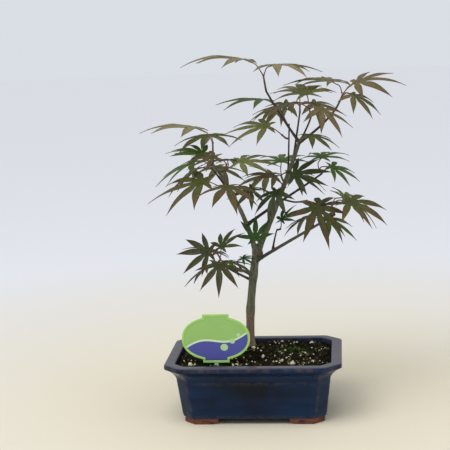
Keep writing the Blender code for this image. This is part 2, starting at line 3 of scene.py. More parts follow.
import bpy
import numpy as np
from mathutils import Matrix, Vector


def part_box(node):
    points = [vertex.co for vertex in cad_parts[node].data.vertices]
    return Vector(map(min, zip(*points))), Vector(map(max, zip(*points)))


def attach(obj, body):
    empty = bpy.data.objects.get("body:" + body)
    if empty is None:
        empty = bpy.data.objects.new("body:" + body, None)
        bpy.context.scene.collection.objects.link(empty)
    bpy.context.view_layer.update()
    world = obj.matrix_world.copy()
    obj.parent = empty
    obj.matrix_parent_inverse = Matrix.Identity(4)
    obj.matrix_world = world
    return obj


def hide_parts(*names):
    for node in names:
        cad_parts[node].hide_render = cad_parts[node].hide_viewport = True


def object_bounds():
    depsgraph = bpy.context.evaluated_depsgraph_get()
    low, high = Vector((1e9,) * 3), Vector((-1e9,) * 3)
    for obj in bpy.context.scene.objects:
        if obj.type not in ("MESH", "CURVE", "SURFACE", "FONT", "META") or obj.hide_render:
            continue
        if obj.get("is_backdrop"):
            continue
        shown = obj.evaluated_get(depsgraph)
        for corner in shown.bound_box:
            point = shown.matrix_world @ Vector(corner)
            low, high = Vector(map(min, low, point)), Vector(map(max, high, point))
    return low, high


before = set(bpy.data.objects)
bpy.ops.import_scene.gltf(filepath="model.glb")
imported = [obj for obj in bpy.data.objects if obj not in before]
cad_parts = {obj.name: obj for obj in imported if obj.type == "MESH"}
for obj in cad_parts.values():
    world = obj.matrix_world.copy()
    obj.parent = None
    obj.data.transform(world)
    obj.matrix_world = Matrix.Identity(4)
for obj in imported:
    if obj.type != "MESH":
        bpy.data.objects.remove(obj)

cad_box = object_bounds()

# The glazed pot. It is pressed stoneware, a rectangle with cut corners: a tapered wall, a hollow
# cove and a flat overhanging lip, dipped in cobalt glaze that runs thin and brown over its edges,
# with painted highlights along the edges and a painted reflection on the lip's top.
# All sizes are millimetres from the middle of the pot, with Z up from the table.
MM = 0.001
pot_low, pot_high = (np.array(corner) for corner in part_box("pot"))
POT_AT = (pot_low + pot_high) / 2 * (1, 1, 0)
POT_HEIGHT = 54.9
LIP_HALF = np.array((77.5, 56.9))
LIP_CUT = 14.0
LIP_FACE = 4.3
LIP_BAND = 9.6
WALL_TOP, WALL_TOP_Z = np.array((67.3, 46.4)), 39.0
WALL_FOOT, WALL_FOOT_Z = np.array((63.3, 42.3)), 5.2
WALL_CUT = 9.5
WALL_THICK = 5.6
FLOOR_THICK = 6.0
WALL_EASE, LIP_EASE, MOUTH_EASE, FLOOR_EASE = 1.6, 3.0, 2.2, 2.0
DRAIN_RADIUS, DRAIN_AT = 7.0, 28.0
MOUTH_INSETS = ((0.5, 50.3), (1.6, 47.0), (4.2, 43.5))
LIP_UNDER = POT_HEIGHT - LIP_FACE
MOUTH = LIP_HALF - LIP_BAND
FLOOR_TOP = WALL_FOOT_Z + FLOOR_THICK


def mesh_piece(name, points, faces, finishes, finish_of=None, uv=None, marks=None):
    """One smooth mesh object from whole arrays, placed in the frame.

    points are pot millimetres, faces a list of arrays whose rows are corner numbers, finish_of the
    finish's number for each face, uv one pair per point, and marks one number per point by name.
    """
    mesh = bpy.data.meshes.new(name)
    points = POT_AT + np.asarray(points, float) * MM
    mesh.vertices.add(len(points))
    mesh.vertices.foreach_set("co", points.astype(np.float32).ravel())
    corners = np.concatenate([rows.ravel() for rows in faces])
    sizes = np.concatenate([np.full(len(rows), rows.shape[1]) for rows in faces])
    mesh.loops.add(len(corners))
    mesh.loops.foreach_set("vertex_index", corners.astype(np.int32))
    mesh.polygons.add(len(sizes))
    mesh.polygons.foreach_set("loop_start", (np.cumsum(sizes) - sizes).astype(np.int32))
    if finish_of is not None:
        mesh.polygons.foreach_set("material_index", np.asarray(finish_of, np.int32))
    if uv is not None:
        layer = mesh.uv_layers.new(name="UVMap")
        layer.data.foreach_set("uv", np.asarray(uv, np.float32)[corners].ravel())
    for mark, values in (marks or {}).items():
        layer = mesh.attributes.new(mark, "FLOAT", "POINT")
        layer.data.foreach_set("value", np.asarray(values, np.float32))
    mesh.update(calc_edges=True)
    mesh.shade_smooth()
    for finish in finishes:
        mesh.materials.append(finish)
    piece = bpy.data.objects.new(name, mesh)
    bpy.context.scene.collection.objects.link(piece)
    return piece


def grid_faces(rows, columns):
    """Quads between neighbouring rows of a grid of points, closed round the last column."""
    row = np.arange(rows - 1)[:, None] * columns
    near = np.arange(columns)[None]
    far = (near + 1) % columns
    return np.stack([row + near, row + far, row + far + columns, row + near + columns],
                    axis=-1).reshape(-1, 4)


def closed_faces(rows, columns, turned=False):
    """A grid's quads, with one face over its first row of points and one over its last."""
    quads = grid_faces(rows, columns)
    ends = np.array([np.arange(columns)[::-1], np.arange(columns) + (rows - 1) * columns])
    return [quads[:, ::-1], ends[:, ::-1]] if turned else [quads, ends]


def joined(shapes):
    """Several (points, faces) as one, with the faces' corner numbers moved on."""
    points, faces, first = [], [], 0
    for shape_points, shape_faces in shapes:
        points.append(shape_points)
        faces += [rows + first for rows in shape_faces]
        first += len(shape_points)
    return np.vstack(points), faces


def cut_corner_ring(half, cut, ease, z, long=18, short=12, corner=3, arc=6):
    """A level ring round a rectangle with cut corners, and how near each point is to a corner.

    Each of the eight corners is a quadratic curve that leaves its two sides an ease away from it.
    """
    hx, hy = half
    corners = np.array([(hx - cut, -hy), (hx, cut - hy), (hx, hy - cut), (hx - cut, hy),
                        (cut - hx, hy), (-hx, hy - cut), (-hx, cut - hy), (cut - hx, -hy)])
    before = np.roll(corners, 1, axis=0) - corners
    after = np.roll(corners, -1, axis=0) - corners
    a = corners + before / np.linalg.norm(before, axis=1)[:, None] * ease
    b = corners + after / np.linalg.norm(after, axis=1)[:, None] * ease
    t = np.linspace(0, 1, arc)[:, None]
    pieces, near = [], []
    for i, count in enumerate((corner, short, corner, long) * 2):
        pieces.append(a[i] * (1 - t) ** 2 + corners[i] * 2 * t * (1 - t) + b[i] * t ** 2)
        near.append(np.sin(np.linspace(0.2, math.pi - 0.2, arc)))
        s = (np.arange(count) + 1)[:, None] / (count + 1)
        pieces.append(b[i] + (a[(i + 1) % 8] - b[i]) * s)
        near.append(np.zeros(count))
    ring = np.vstack(pieces)
    return np.column_stack([ring, np.full(len(ring), z)]), np.concatenate(near)


def rounded_edge(start, corner, end, steps):
    """Profile points along a quadratic curve that turns an edge: (inset, height) pairs."""
    t = np.linspace(0, 1, steps)[:, None]
    start, corner, end = (np.array(p, float) for p in (start, corner, end))
    return start * (1 - t) ** 2 + corner * 2 * t * (1 - t) + end * t ** 2


def pot_profile():
    """Levels up the outside, over the lip and down the inside, as (half sizes, cut, ease, z, edge).

    The wall is straight, the cove flares to the lip's underside by the square of its height, and
    the lip's two edges and the foot's edge are rounded. edge is how much a level lies on an edge.
    """
    foot, top, high = WALL_FOOT_Z, WALL_TOP_Z, POT_HEIGHT
    levels = []
    for inset, z in rounded_edge((1.8, foot), (0.0, foot), (0.0, foot + 1.8), 5):
        levels.append((WALL_FOOT - inset, WALL_CUT - 0.4 * inset, WALL_EASE, z, 0.6))
    for share in np.linspace(0.12, 1, 9):
        half = WALL_FOOT + (WALL_TOP - WALL_FOOT) * share
        levels.append((half, WALL_CUT, WALL_EASE, foot + (top - foot) * share, 0.7 * (share == 1)))
    for share in np.linspace(0.07, 0.965, 12):
        bow = share ** 2
        half = WALL_TOP + (LIP_HALF - 0.6 - WALL_TOP) * bow
        levels.append((half, WALL_CUT + (LIP_CUT - WALL_CUT) * bow,
                       WALL_EASE + (LIP_EASE - WALL_EASE) * bow, top + (LIP_UNDER - top) * share, 0.0))
    for inset, z in rounded_edge((0.5, LIP_UNDER), (0.0, LIP_UNDER), (0.0, LIP_UNDER + 1.2), 4):
        levels.append((LIP_HALF - inset, LIP_CUT, LIP_EASE, z, 0.5))
    for inset, z in rounded_edge((0.0, high - 1.6), (0.0, high), (1.9, high), 6):
        levels.append((LIP_HALF - inset, LIP_CUT - 0.4 * inset, LIP_EASE, z, 1.0))
    for inset, z in rounded_edge((-1.6, high - 0.1), (0.0, high), (0.0, high - 1.6), 5):
        levels.append((MOUTH - inset, WALL_CUT, MOUTH_EASE, z, 1.0))
    for inset, z in MOUTH_INSETS:
        levels.append((MOUTH - inset, WALL_CUT, MOUTH_EASE, z, 0.0))
    return levels + [(WALL_FOOT - WALL_THICK, WALL_CUT - 2, FLOOR_EASE, FLOOR_TOP, 0.0)]


def adder(tree):
    """A call that adds a node to a tree, with its settings and its sockets' links or values."""
    def add(kind, joined=(), **settings):
        node = tree.nodes.new(kind)
        for key, value in settings.items():
            setattr(node, key, value)
        for socket, value in dict(joined).items():
            if isinstance(value, bpy.types.NodeSocket):
                tree.links.new(value, node.inputs[socket])
            else:
                node.inputs[socket].default_value = value
        return node
    return add


def shader(name, roughness=0.5, **constants):
    """A new material with its Principled BSDF, and short calls to add and join nodes."""
    made = bpy.data.materials.new(name)
    made.use_nodes = True
    tree = made.node_tree
    sockets = tree.nodes["Principled BSDF"].inputs
    for socket, value in {"Roughness": roughness, **constants}.items():
        sockets[socket.replace("_", " ")].default_value = value
    return made, adder(tree), lambda value, socket: tree.links.new(value, sockets[socket])


def mixed(add, mask, first, second, blend="MIX"):
    """A colour that goes from the first to the second by a mask. Either may be a socket."""
    first, second = (value if isinstance(value, bpy.types.NodeSocket) else (*value, 1.0)
                     for value in (first, second))
    return add("ShaderNodeMix", {0: mask, 6: first, 7: second}, data_type="RGBA",
               blend_type=blend).outputs[2]


def node_group(name, inputs, outputs):
    """An empty shader node group with float or vector sockets, and a call that adds its nodes."""
    group = bpy.data.node_groups.new(name, "ShaderNodeTree")
    for label, kind, value in inputs:
        socket = group.interface.new_socket(label, in_out="INPUT", socket_type=kind)
        socket.default_value = value
    for label, kind in outputs:
        group.interface.new_socket(label, in_out="OUTPUT", socket_type=kind)
    source = group.nodes.new("NodeGroupInput").outputs
    result = group.nodes.new("NodeGroupOutput").inputs

    def give(value, label):
        group.links.new(value, result[label])

    return group, adder(group), give, source


def patchy_group():
    """Patches: noise on stretched object coordinates, cut to a soft mask between Low and High."""
    group, add, give, source = node_group(
        "patches", (("Scale", "NodeSocketFloat", 100.0), ("Stretch", "NodeSocketVector", (1, 1, 1)),
                    ("Low", "NodeSocketFloat", 0.35), ("High", "NodeSocketFloat", 0.65),
                    ("Detail", "NodeSocketFloat", 4.0)), (("Mask", "NodeSocketFloat"),))
    place = add("ShaderNodeTexCoord").outputs["Object"]
    mapped = add("ShaderNodeVectorMath", {0: place, 1: source["Stretch"]}, operation="MULTIPLY")
    noise = add("ShaderNodeTexNoise", {"Vector": mapped.outputs[0], "Scale": source["Scale"],
                                       "Detail": source["Detail"], "Roughness": 0.55})
    give(add("ShaderNodeMapRange", {"Value": noise.outputs["Fac"], "From Min": source["Low"],
                                    "From Max": source["High"]}).outputs[0], "Mask")
    return group


patches = patchy_group()
EVEN = (1, 1, 1)


def mottle(add, scale, stretch=EVEN, low=0.35, high=0.65, detail=4.0):
    """The patches group placed in a material. scale counts patches to the metre."""
    return add("ShaderNodeGroup", {"Scale": scale, "Stretch": stretch, "Low": low, "High": high,
                                   "Detail": detail}, node_tree=patches).outputs[0]


def maths(add, operation, first, second=0.0):
    """One sum of two numbers or sockets."""
    return add("ShaderNodeMath", {0: first, 1: second}, operation=operation).outputs[0]


def ramp(add, value, low=0.0, high=1.0, start=0.0, end=1.0):
    """A straight ramp from start to end as a value goes from low to high, held beyond both."""
    return add("ShaderNodeMapRange", {"Value": value, "From Min": low, "From Max": high,
                                      "To Min": start, "To Max": end}).outputs[0]


def marked(add, name):
    """A mark that the mesh carries at its points."""
    return add("ShaderNodeAttribute", attribute_name=name).outputs["Fac"]


def bumped(add, height, distance, strength=1.0):
    """A normal that a height tips, distance in metres."""
    return add("ShaderNodeBump", {"Height": height, "Distance": distance,
                                  "Strength": strength}).outputs[0]


def pitted(add, scale, distance, strength, detail=4.0):
    """A normal with an even fine grain."""
    return bumped(add, mottle(add, scale, low=0.2, high=0.8, detail=detail), distance, strength)


def cobalt_glaze():
    """Cobalt glaze by its thickness, with painted light on the lip's top and along the edges.

    It is near black where it lies thin in the middle of a wall, blue where it pooled at the corners
    and the foot, and streaked where it ran. The lip's top is a painted grey-violet reflection of the
    light from above, and the edges are brown where the glaze broke, with painted highlights along them.
    """
    made, add, join = shader("cobalt_glaze", Specular_IOR_Level=0.17)
    runs = mottle(add, 90, (0.22, 0.22, 1), 0.36, 0.68)
    clouds = mottle(add, 34, (1, 1, 1.2), 0.30, 0.70)
    depth = maths(add, "ADD", marked(add, "pooled"), maths(add, "MULTIPLY", clouds, 0.75))
    depth = maths(add, "ADD", depth, maths(add, "MULTIPLY", runs, 0.2))
    blue = mixed(add, runs, (0.0025, 0.0125, 0.042), (0.0035, 0.0210, 0.068))
    glaze = mixed(add, ramp(add, depth, 0.45, 1.35), (0.0030, 0.0062, 0.0150), blue)
    # Painted reflection: the lip's top is grey-violet as if it mirrored the light from above.
    glaze = mixed(add, marked(add, "lip"), glaze, (0.085, 0.092, 0.122))
    # Painted highlights: pale brown lines along the edges and corners, partly glaze broken there.
    broken_and_glint = maths(add, "MULTIPLY", marked(add, "edge_wear_and_glint"), mottle(add, 170, low=0.35, high=0.7))
    join(mixed(add, maths(add, "MULTIPLY", broken_and_glint, 0.55), glaze, (0.100, 0.078, 0.080)), "Base Color")
    join(ramp(add, clouds, start=0.14, end=0.24), "Roughness")
    join(bumped(add, mottle(add, 130, (1, 1, 0.5), 0.2, 0.8, 2.0), 0.0005, 0.5), "Normal")
    return made


levels = pot_profile()
rings, near_corner = zip(*(cut_corner_ring(*level[:4]) for level in levels))
# Edges and corners: where the glaze is worn and where painted highlights go.
edge_wear_and_glint = np.concatenate([np.maximum(level[4], 0.9 * near) for level, near in zip(levels, near_corner)])
pot_points = np.vstack(rings)
height = pot_points[:, 2]
# The glaze pooled away from the middle of each wall, at the foot, and under the lip in the cove.
middle = 1 - np.minimum(np.abs(pot_points[:, :2]) / WALL_FOOT, 1).min(axis=1)
pooled = np.clip(1.15 - 1.35 * middle * np.clip((height - 4) / 26, 0, 1), 0, 1)
pooled = np.where(height > WALL_TOP_Z + 1.5, 0.9, pooled)
# The lip's top, where the painted reflection of the light from above goes.
on_lip = np.clip((height - (POT_HEIGHT - 0.5)) / 0.4, 0, 1)
pot_body = mesh_piece("pot_body", pot_points, closed_faces(len(rings), len(rings[0])),
                      [cobalt_glaze()], marks={"edge_wear_and_glint": edge_wear_and_glint, "pooled": pooled, "lip": on_lip})


def settle(piece):
    """The piece's mesh becomes what its modifiers make of it."""
    bpy.context.view_layer.update()
    graph = bpy.context.evaluated_depsgraph_get()
    mesh = bpy.data.meshes.new_from_object(piece.evaluated_get(graph))
    piece.modifiers.clear()
    piece.data = mesh


def drill(piece, radius, centres, low, high, sides=40):
    """Round holes through a piece, cut by one Boolean and applied."""
    turn = 2 * math.pi * np.arange(sides) / sides
    disc = radius * np.column_stack([np.cos(turn), np.sin(turn)])
    bits = [(np.vstack([np.column_stack([disc + centre, np.full(sides, z)]) for z in (low, high)]),
             closed_faces(2, sides)) for centre in centres]
    drillbits = mesh_piece("drill", *joined(bits), [])
    step = piece.modifiers.new("drain_holes", "BOOLEAN")
    step.operation = "DIFFERENCE"
    step.object = drillbits
    step.solver = "EXACT"
    settle(piece)
    bpy.data.objects.remove(drillbits, do_unlink=True)


drill(pot_body, DRAIN_RADIUS, ((-DRAIN_AT, 0), (DRAIN_AT, 0)), 0.0, FLOOR_TOP + 4)
pot_body.data.shade_smooth()
pot_body.data.set_sharp_from_angle(angle=math.radians(50))
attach(pot_body, "root")
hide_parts("pot")


# The four corner feet. They are slabs of the same clay bent round the cut corners, wiped clean of
# glaze so that they show bare brown and brick red, with rising ends like a bracket.
FOOT_ALONG = np.array((32.0, 24.0))
FOOT_THICK = 8.0
FOOT_INSET = 1.6
FOOT_RISE = 2.2
FOOT_RUN = 7.0
FOOT_ROUND = 0.7


def foot_sections(sx, sy):
    """Cross-sections of one foot, square to a line that runs along one side and back on the other.

    The line follows the wall's plan inset, turns at the cut corner, and the underside rises to both
    ends along a quarter wave.
    """
    ends = WALL_FOOT - FOOT_ALONG
    share = np.concatenate([np.linspace(0, 1, 14)[:-1], 1 + np.linspace(0, 1, 6)[:-1],
                            2 + np.linspace(0, 1, 11)])
    plan = []
    for deep in (0.0, FOOT_THICK):
        (hx, hy), cut = WALL_FOOT - FOOT_INSET - deep, WALL_CUT - 0.4 * deep
        line = np.array([(ends[0], hy), (hx - cut, hy), (hx, hy - cut), (hx, ends[1])])
        plan.append(np.column_stack([np.interp(share, range(4), line[:, k]) for k in (0, 1)]))
    gone = np.concatenate([[0], np.cumsum(np.linalg.norm(np.diff(plan[0], axis=0), axis=1))])
    to_end = np.minimum(gone, gone[-1] - gone)
    low = FOOT_RISE * (1 - np.sin(np.minimum(to_end / FOOT_RUN, 1) * math.pi / 2))
    top = np.full(len(share), WALL_FOOT_Z + 1.4)
    out = plan[0] - plan[1]
    out *= FOOT_ROUND / np.linalg.norm(out, axis=1)[:, None]
    section = [(plan[0] - out, low), (plan[0], low + FOOT_ROUND), (plan[0], top),
               (plan[1], top), (plan[1], low + FOOT_ROUND), (plan[1] + out, low)]
    return np.stack([np.column_stack([line * (sx, sy), z]) for line, z in section], axis=1)


def bare_clay():
    """Fired clay: brown, brick red in patches, with dark glaze smears, rough and slightly sandy."""
    made, add, join = shader("bare_clay", 0.8)
    clay = mixed(add, mottle(add, 45, low=0.42, high=0.6), (0.060, 0.026, 0.020), (0.200, 0.062, 0.034))
    smears = mottle(add, 90, (1, 1, 2.5), 0.52, 0.64)
    join(mixed(add, smears, clay, (0.016, 0.012, 0.018)), "Base Color")
    join(ramp(add, smears, start=0.85, end=0.4), "Roughness")
    join(pitted(add, 1500, 0.0002, 0.6), "Normal")
    return made


feet = []
for sx, sy in ((1, 1), (-1, 1), (-1, -1), (1, -1)):
    sections = foot_sections(sx, sy)
    feet.append((sections.reshape(-1, 3), closed_faces(*sections.shape[:2], turned=sx * sy < 0)))
pot_feet = mesh_piece("pot_feet", *joined(feet), [bare_clay()])
pot_feet.data.set_sharp_from_angle(angle=math.radians(60))
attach(pot_feet, "root")
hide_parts("pot")


# The soil. Dark moist potting mix fills the pot to just under its lip and mounds a little towards
# the trunk. Crumbs of bark and peat lie loose on it, with white perlite, tan chips and some moss.
TRUNK_FOOT = np.array((-5.6, 17.0))
SOIL_EDGE = 50.5
SOIL_TOP = 57.0
SOIL_PATCH = 4.0
SOIL_SEED = 5
SOIL_STEPS = 64
SOIL_CLEAR = 0.7
GRAINS_CLEAR, TRUNK_CLEAR = 2.4, 7.0
CRUMBS, SMALL_GRAINS, MOSS_BLADES = 1500, 170, 70
# The larger white grains that show from the front, each its x, y and radius, and the moss tufts.
WHITE_GRAINS = ((35, -36, 2.5), (52, -30, 2.2), (50, 34, 2.4), (22, 38, 1.8), (-55, -35, 2.2), (-2, 4, 1.9),
                (8, -18, 1.9), (-14, -36, 1.6))
MOSS_AT = ((37.0, 8.4), (43.6, 4.7), (31.0, 4.0), (-31.0, -34.6), (24.0, -6.0))


def waves(points, size, count, random):
    """Smooth random relief: the mean of sine waves in random directions, about a size long."""
    total = np.zeros(len(points))
    for turn, phase, stretch in zip(random.uniform(0, 2 * math.pi, count),
                                    random.uniform(0, 2 * math.pi, count),
                                    random.uniform(0.6, 1.5, count)):
        way = np.array([math.cos(turn), math.sin(turn)]) * 2 * math.pi / (size * stretch)
        total += np.sin(points[:, :2] @ way + phase)
    return total / math.sqrt(count)


def soil_height(points):
    """Height of the soil: a mound that falls from the trunk's foot to the wall, with lumps."""
    random = np.random.default_rng(SOIL_SEED)
    offset = points[:, :2] - TRUNK_FOOT
    inner = MOUTH - SOIL_CLEAR
    reach = np.where(offset > 0, inner - TRUNK_FOOT, inner + TRUNK_FOOT)
    out = np.clip(np.abs(offset / reach).max(axis=1), 0, 1)
    mound = SOIL_EDGE + (SOIL_TOP - SOIL_EDGE) * np.sin((1 - out) * math.pi / 2) ** 1.2
    lumps = 0.45 * waves(points, 17, 9, random) + 0.32 * waves(points, 6, 12, random)
    lumps += 0.16 * waves(points, 2.4, 14, random)
    return mound - 0.3 + lumps * np.clip(out * 4, 0.2, 1)


def dark_soil():
    """Moist peat and bark: near black with brown specks, rough, with a coarse crumb."""
    made, add, join = shader("dark_soil", 0.95, Specular_IOR_Level=0.1)
    warm = mottle(add, 160, low=0.4, high=0.65)
    dark = mixed(add, warm, (0.003, 0.0032, 0.001), (0.009, 0.0085, 0.0025))
    specks = mottle(add, 620, low=0.5, high=0.62, detail=6.0)
    join(mixed(add, specks, dark, (0.040, 0.036, 0.012)), "Base Color")
    join(pitted(add, 900, 0.0008, 1.0, detail=6.0), "Normal")
    return made


def cap_faces(start, count, tip, turned=False):
    """Triangles from a ring of points to one point."""
    near = np.arange(count) + start
    far = np.roll(near, -1)
    pair = (far, near) if turned else (near, far)
    return np.stack([*pair, np.full(count, tip)], axis=1)


soil_rings = [cut_corner_ring(WALL_FOOT - WALL_THICK - 0.4, WALL_CUT - 2, FLOOR_EASE, FLOOR_TOP + 0.3)[0]]
for inset, z in MOUTH_INSETS[:0:-1]:
    soil_rings.append(cut_corner_ring(MOUTH - inset - 0.3, WALL_CUT, MOUTH_EASE, z)[0])
edge = cut_corner_ring(MOUTH - SOIL_CLEAR, WALL_CUT, MOUTH_EASE, SOIL_EDGE)[0]
patch = TRUNK_FOOT + (edge[:, :2] - TRUNK_FOOT) * 0.04
for share in np.linspace(0, 1, SOIL_STEPS):
    spot = edge[:, :2] * (1 - share) + patch * share
    soil_rings.append(np.column_stack([spot, soil_height(spot)]))
soil_points = np.vstack(soil_rings + [np.array([[*TRUNK_FOOT, SOIL_TOP - 0.3]])])
ring_size = len(edge)
soil_faces = closed_faces(len(soil_rings), ring_size)
soil_faces[1] = soil_faces[1][:1]
soil_faces.append(cap_faces((len(soil_rings) - 1) * ring_size, ring_size, len(soil_points) - 1))
soil_bed = mesh_piece("soil_bed", soil_points, soil_faces, [dark_soil()])
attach(soil_bed, "root")
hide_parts("soil")


def pebble():
    """Corners and faces of an octahedron split once and pushed out to a ball."""
    corners = [(1, 0, 0), (-1, 0, 0), (0, 1, 0), (0, -1, 0), (0, 0, 1), (0, 0, -1)]
    sides = [(0, 2, 4), (2, 1, 4), (1, 3, 4), (3, 0, 4), (2, 0, 5), (1, 2, 5), (3, 1, 5), (0, 3, 5)]
    middles, faces = {}, []
    for a, b, c in sides:
        ab, bc, ca = (middles.setdefault(frozenset(pair), 6 + len(middles))
                      for pair in ((a, b), (b, c), (c, a)))
        faces += [(a, ab, ca), (ab, b, bc), (ca, bc, c), (ab, bc, ca)]
    for pair in middles:
        a, b = (np.array(corners[k]) for k in pair)
        corners.append(tuple((a + b) / 2))
    ball = np.array(corners, float)
    return ball / np.linalg.norm(ball, axis=1)[:, None], np.array(faces)


def strewn(places, sizes, squash, random, sink=0.25):
    """Many pebbles as one set of arrays: each turned, squashed, dented and set on the soil."""
    ball, sides = pebble()
    count = len(places)
    turn = random.uniform(0, 2 * math.pi, count)
    shape = ball[None] * random.uniform(*squash, (count, 1, 3))
    shape = shape * random.uniform(0.7, 1.25, (count, len(ball), 1))
    x = shape[..., 0] * np.cos(turn)[:, None] - shape[..., 1] * np.sin(turn)[:, None]
    y = shape[..., 0] * np.sin(turn)[:, None] + shape[..., 1] * np.cos(turn)[:, None]
    shape = np.stack([x, y, shape[..., 2]], axis=-1) * sizes[:, None, None]
    height = soil_height(places) + sizes * (0.6 - sink)
    shape += np.column_stack([places, height])[:, None]
    faces = sides[None] + (np.arange(count) * len(ball))[:, None, None]
    return shape.reshape(-1, 3), faces.reshape(-1, 3)


def spots(count, random):
    """Random places on the soil inside the pot's mouth, away from the trunk."""
    inner = MOUTH - GRAINS_CLEAR
    found = random.uniform(-inner, inner, (count * 2, 2))
    clear = (np.abs(found).sum(axis=1) < inner.sum() - WALL_CUT) & \
        (np.linalg.norm(found - TRUNK_FOOT, axis=1) > TRUNK_CLEAR)
    return found[clear][:count]


def two_tone(name, first, second, roughness, patch, relief, **constants):
    """A finish that goes from one shade to another in patches, under a fine relief.

    patch holds mottle's numbers, and relief a distance, a strength and mottle's numbers.
    """
    made, add, join = shader(name, roughness, **constants)
    join(mixed(add, mottle(add, *patch), first, second), "Base Color")
    join(bumped(add, mottle(add, *relief[2:]), *relief[:2]), "Normal")
    return made


def grain(name, light, dark, scale):
    """A dull mineral or bark finish with two shades and a pitted face."""
    return two_tone(name, light, dark, 0.9, (scale, EVEN, 0.35, 0.7),
                    (0.0003, 0.8, scale * 2, EVEN, 0.2, 0.8), Specular_IOR_Level=0.15)


random = np.random.default_rng(SOIL_SEED)
crumb_spots = spots(CRUMBS, random)
crumbs, crumb_faces = strewn(crumb_spots, random.uniform(0.5, 1.5, len(crumb_spots)) ** 1.3,
                             (0.6, 1.2), random)
tone = np.repeat(random.choice(3, len(crumb_spots), p=(0.70, 0.20, 0.10)), 32)
soil_crumbs = mesh_piece("soil_crumbs", crumbs, [crumb_faces],
                         [grain("peat_crumb", (0.005, 0.0048, 0.0018), (0.014, 0.012, 0.005), 900),
                          grain("bark_chip", (0.030, 0.022, 0.009), (0.062, 0.044, 0.018), 700),
                          grain("pale_chip", (0.16, 0.14, 0.055), (0.10, 0.082, 0.034), 700)], tone)
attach(soil_crumbs, "root")
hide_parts("soil")

listed = np.array(WHITE_GRAINS)
small = spots(SMALL_GRAINS, random)
places = np.vstack([listed[:, :2], small])
sizes = np.concatenate([listed[:, 2], random.uniform(0.5, 1.25, len(small))])
grains, grain_faces = strewn(places, sizes, (0.75, 1.1), random, sink=0.1)
perlite = mesh_piece("perlite", grains, [grain_faces],
                     [grain("white_perlite", (0.72, 0.70, 0.54), (0.46, 0.42, 0.26), 420)])
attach(perlite, "root")
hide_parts("soil")


def moss_tufts(random):
    """Short curved blades in round tufts: each blade is a thin upright triangle strip of 3 levels."""
    centre = np.repeat(np.array(MOSS_AT), MOSS_BLADES, axis=0)
    spot = centre + random.normal(0, 2.6, centre.shape)
    foot = np.column_stack([spot, soil_height(spot)])
    lean = random.normal(0, 0.5, (len(foot), 3)) * (1, 1, 0) + (0, 0, 1)
    tall = random.uniform(0.9, 2.4, len(foot))[:, None]
    side = np.cross(lean, random.normal(0, 1, lean.shape))
    side *= 0.24 / np.linalg.norm(side, axis=1)[:, None]
    back = np.cross(side, lean)
    back *= 0.12 / np.linalg.norm(back, axis=1)[:, None]
    ring = [foot + side, foot + back, foot - side, foot - back]
    middle = [p + lean * tall * 0.55 for p in ring]
    tip = foot + lean * tall + back * 4
    blades = np.stack(ring + middle + [tip], axis=1)
    base = (np.arange(len(foot)) * 9)[:, None, None]
    faces = [(rows[None, :, ::-1] + base).reshape(-1, rows.shape[1])
             for rows in (grid_faces(2, 4), np.array([(3, 2, 1, 0)]), cap_faces(4, 4, 8))]
    return blades.reshape(-1, 3), faces


moss = mesh_piece("moss", *moss_tufts(random),
                  [grain("green_moss", (0.025, 0.075, 0.008), (0.06, 0.14, 0.015), 400)])
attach(moss, "root")
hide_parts("soil")


# The plant label. A flat oval of lime plastic with a square tab above and below, a raised rim and
# a printed face, slotted on a clear plastic stake that is pushed into the soil.
PLATE_AT = np.array((-31.5, -36.0))
PLATE_HALF = np.array((29.9, 19.3))
PLATE_SQUARE = 2.2
PLATE_MIDDLE = 76.0
PLATE_TAB = np.array((11.6, 21.3))
PLATE_THICK = 1.4
PLATE_RIM = 2.0
PLATE_LEAN = math.radians(4)
STAKE = (3.4, 1.2, 24.0)
STAKE_CLEAR = 0.3


def leaned(points):
    """Points of the label tipped back about the line where the stake enters the soil."""
    foot = np.array([*PLATE_AT, SOIL_EDGE])
    local = points - foot
    back = local[..., 1] * math.cos(PLATE_LEAN) + local[..., 2] * math.sin(PLATE_LEAN)
    up = local[..., 2] * math.cos(PLATE_LEAN) - local[..., 1] * math.sin(PLATE_LEAN)
    return foot + np.stack([local[..., 0], back, up], axis=-1)


def plate_outline(inset):
    """The label's outline moved inward: an oval of power 2.2 with two square tabs."""
    half, tab = PLATE_HALF - inset, PLATE_TAB - inset
    power = 2 / PLATE_SQUARE
    inner = math.acos((tab[0] / half[0]) ** (1 / power))
    pieces = []
    for middle, sign in ((math.pi / 2, 1), (1.5 * math.pi, -1)):
        across = np.linspace(tab[0], -tab[0], 9)
        rise = tab[1] * np.ones(9)
        pieces.append(np.column_stack([across, rise]) * sign)
        turn = np.linspace(middle + math.pi / 2 - inner, middle + math.pi / 2 + inner, 41)
        c, s = np.cos(turn), np.sin(turn)
        pieces.append(np.column_stack([half[0] * np.sign(c) * np.abs(c) ** power,
                                       half[1] * np.sign(s) * np.abs(s) ** power]))
    return np.vstack(pieces)


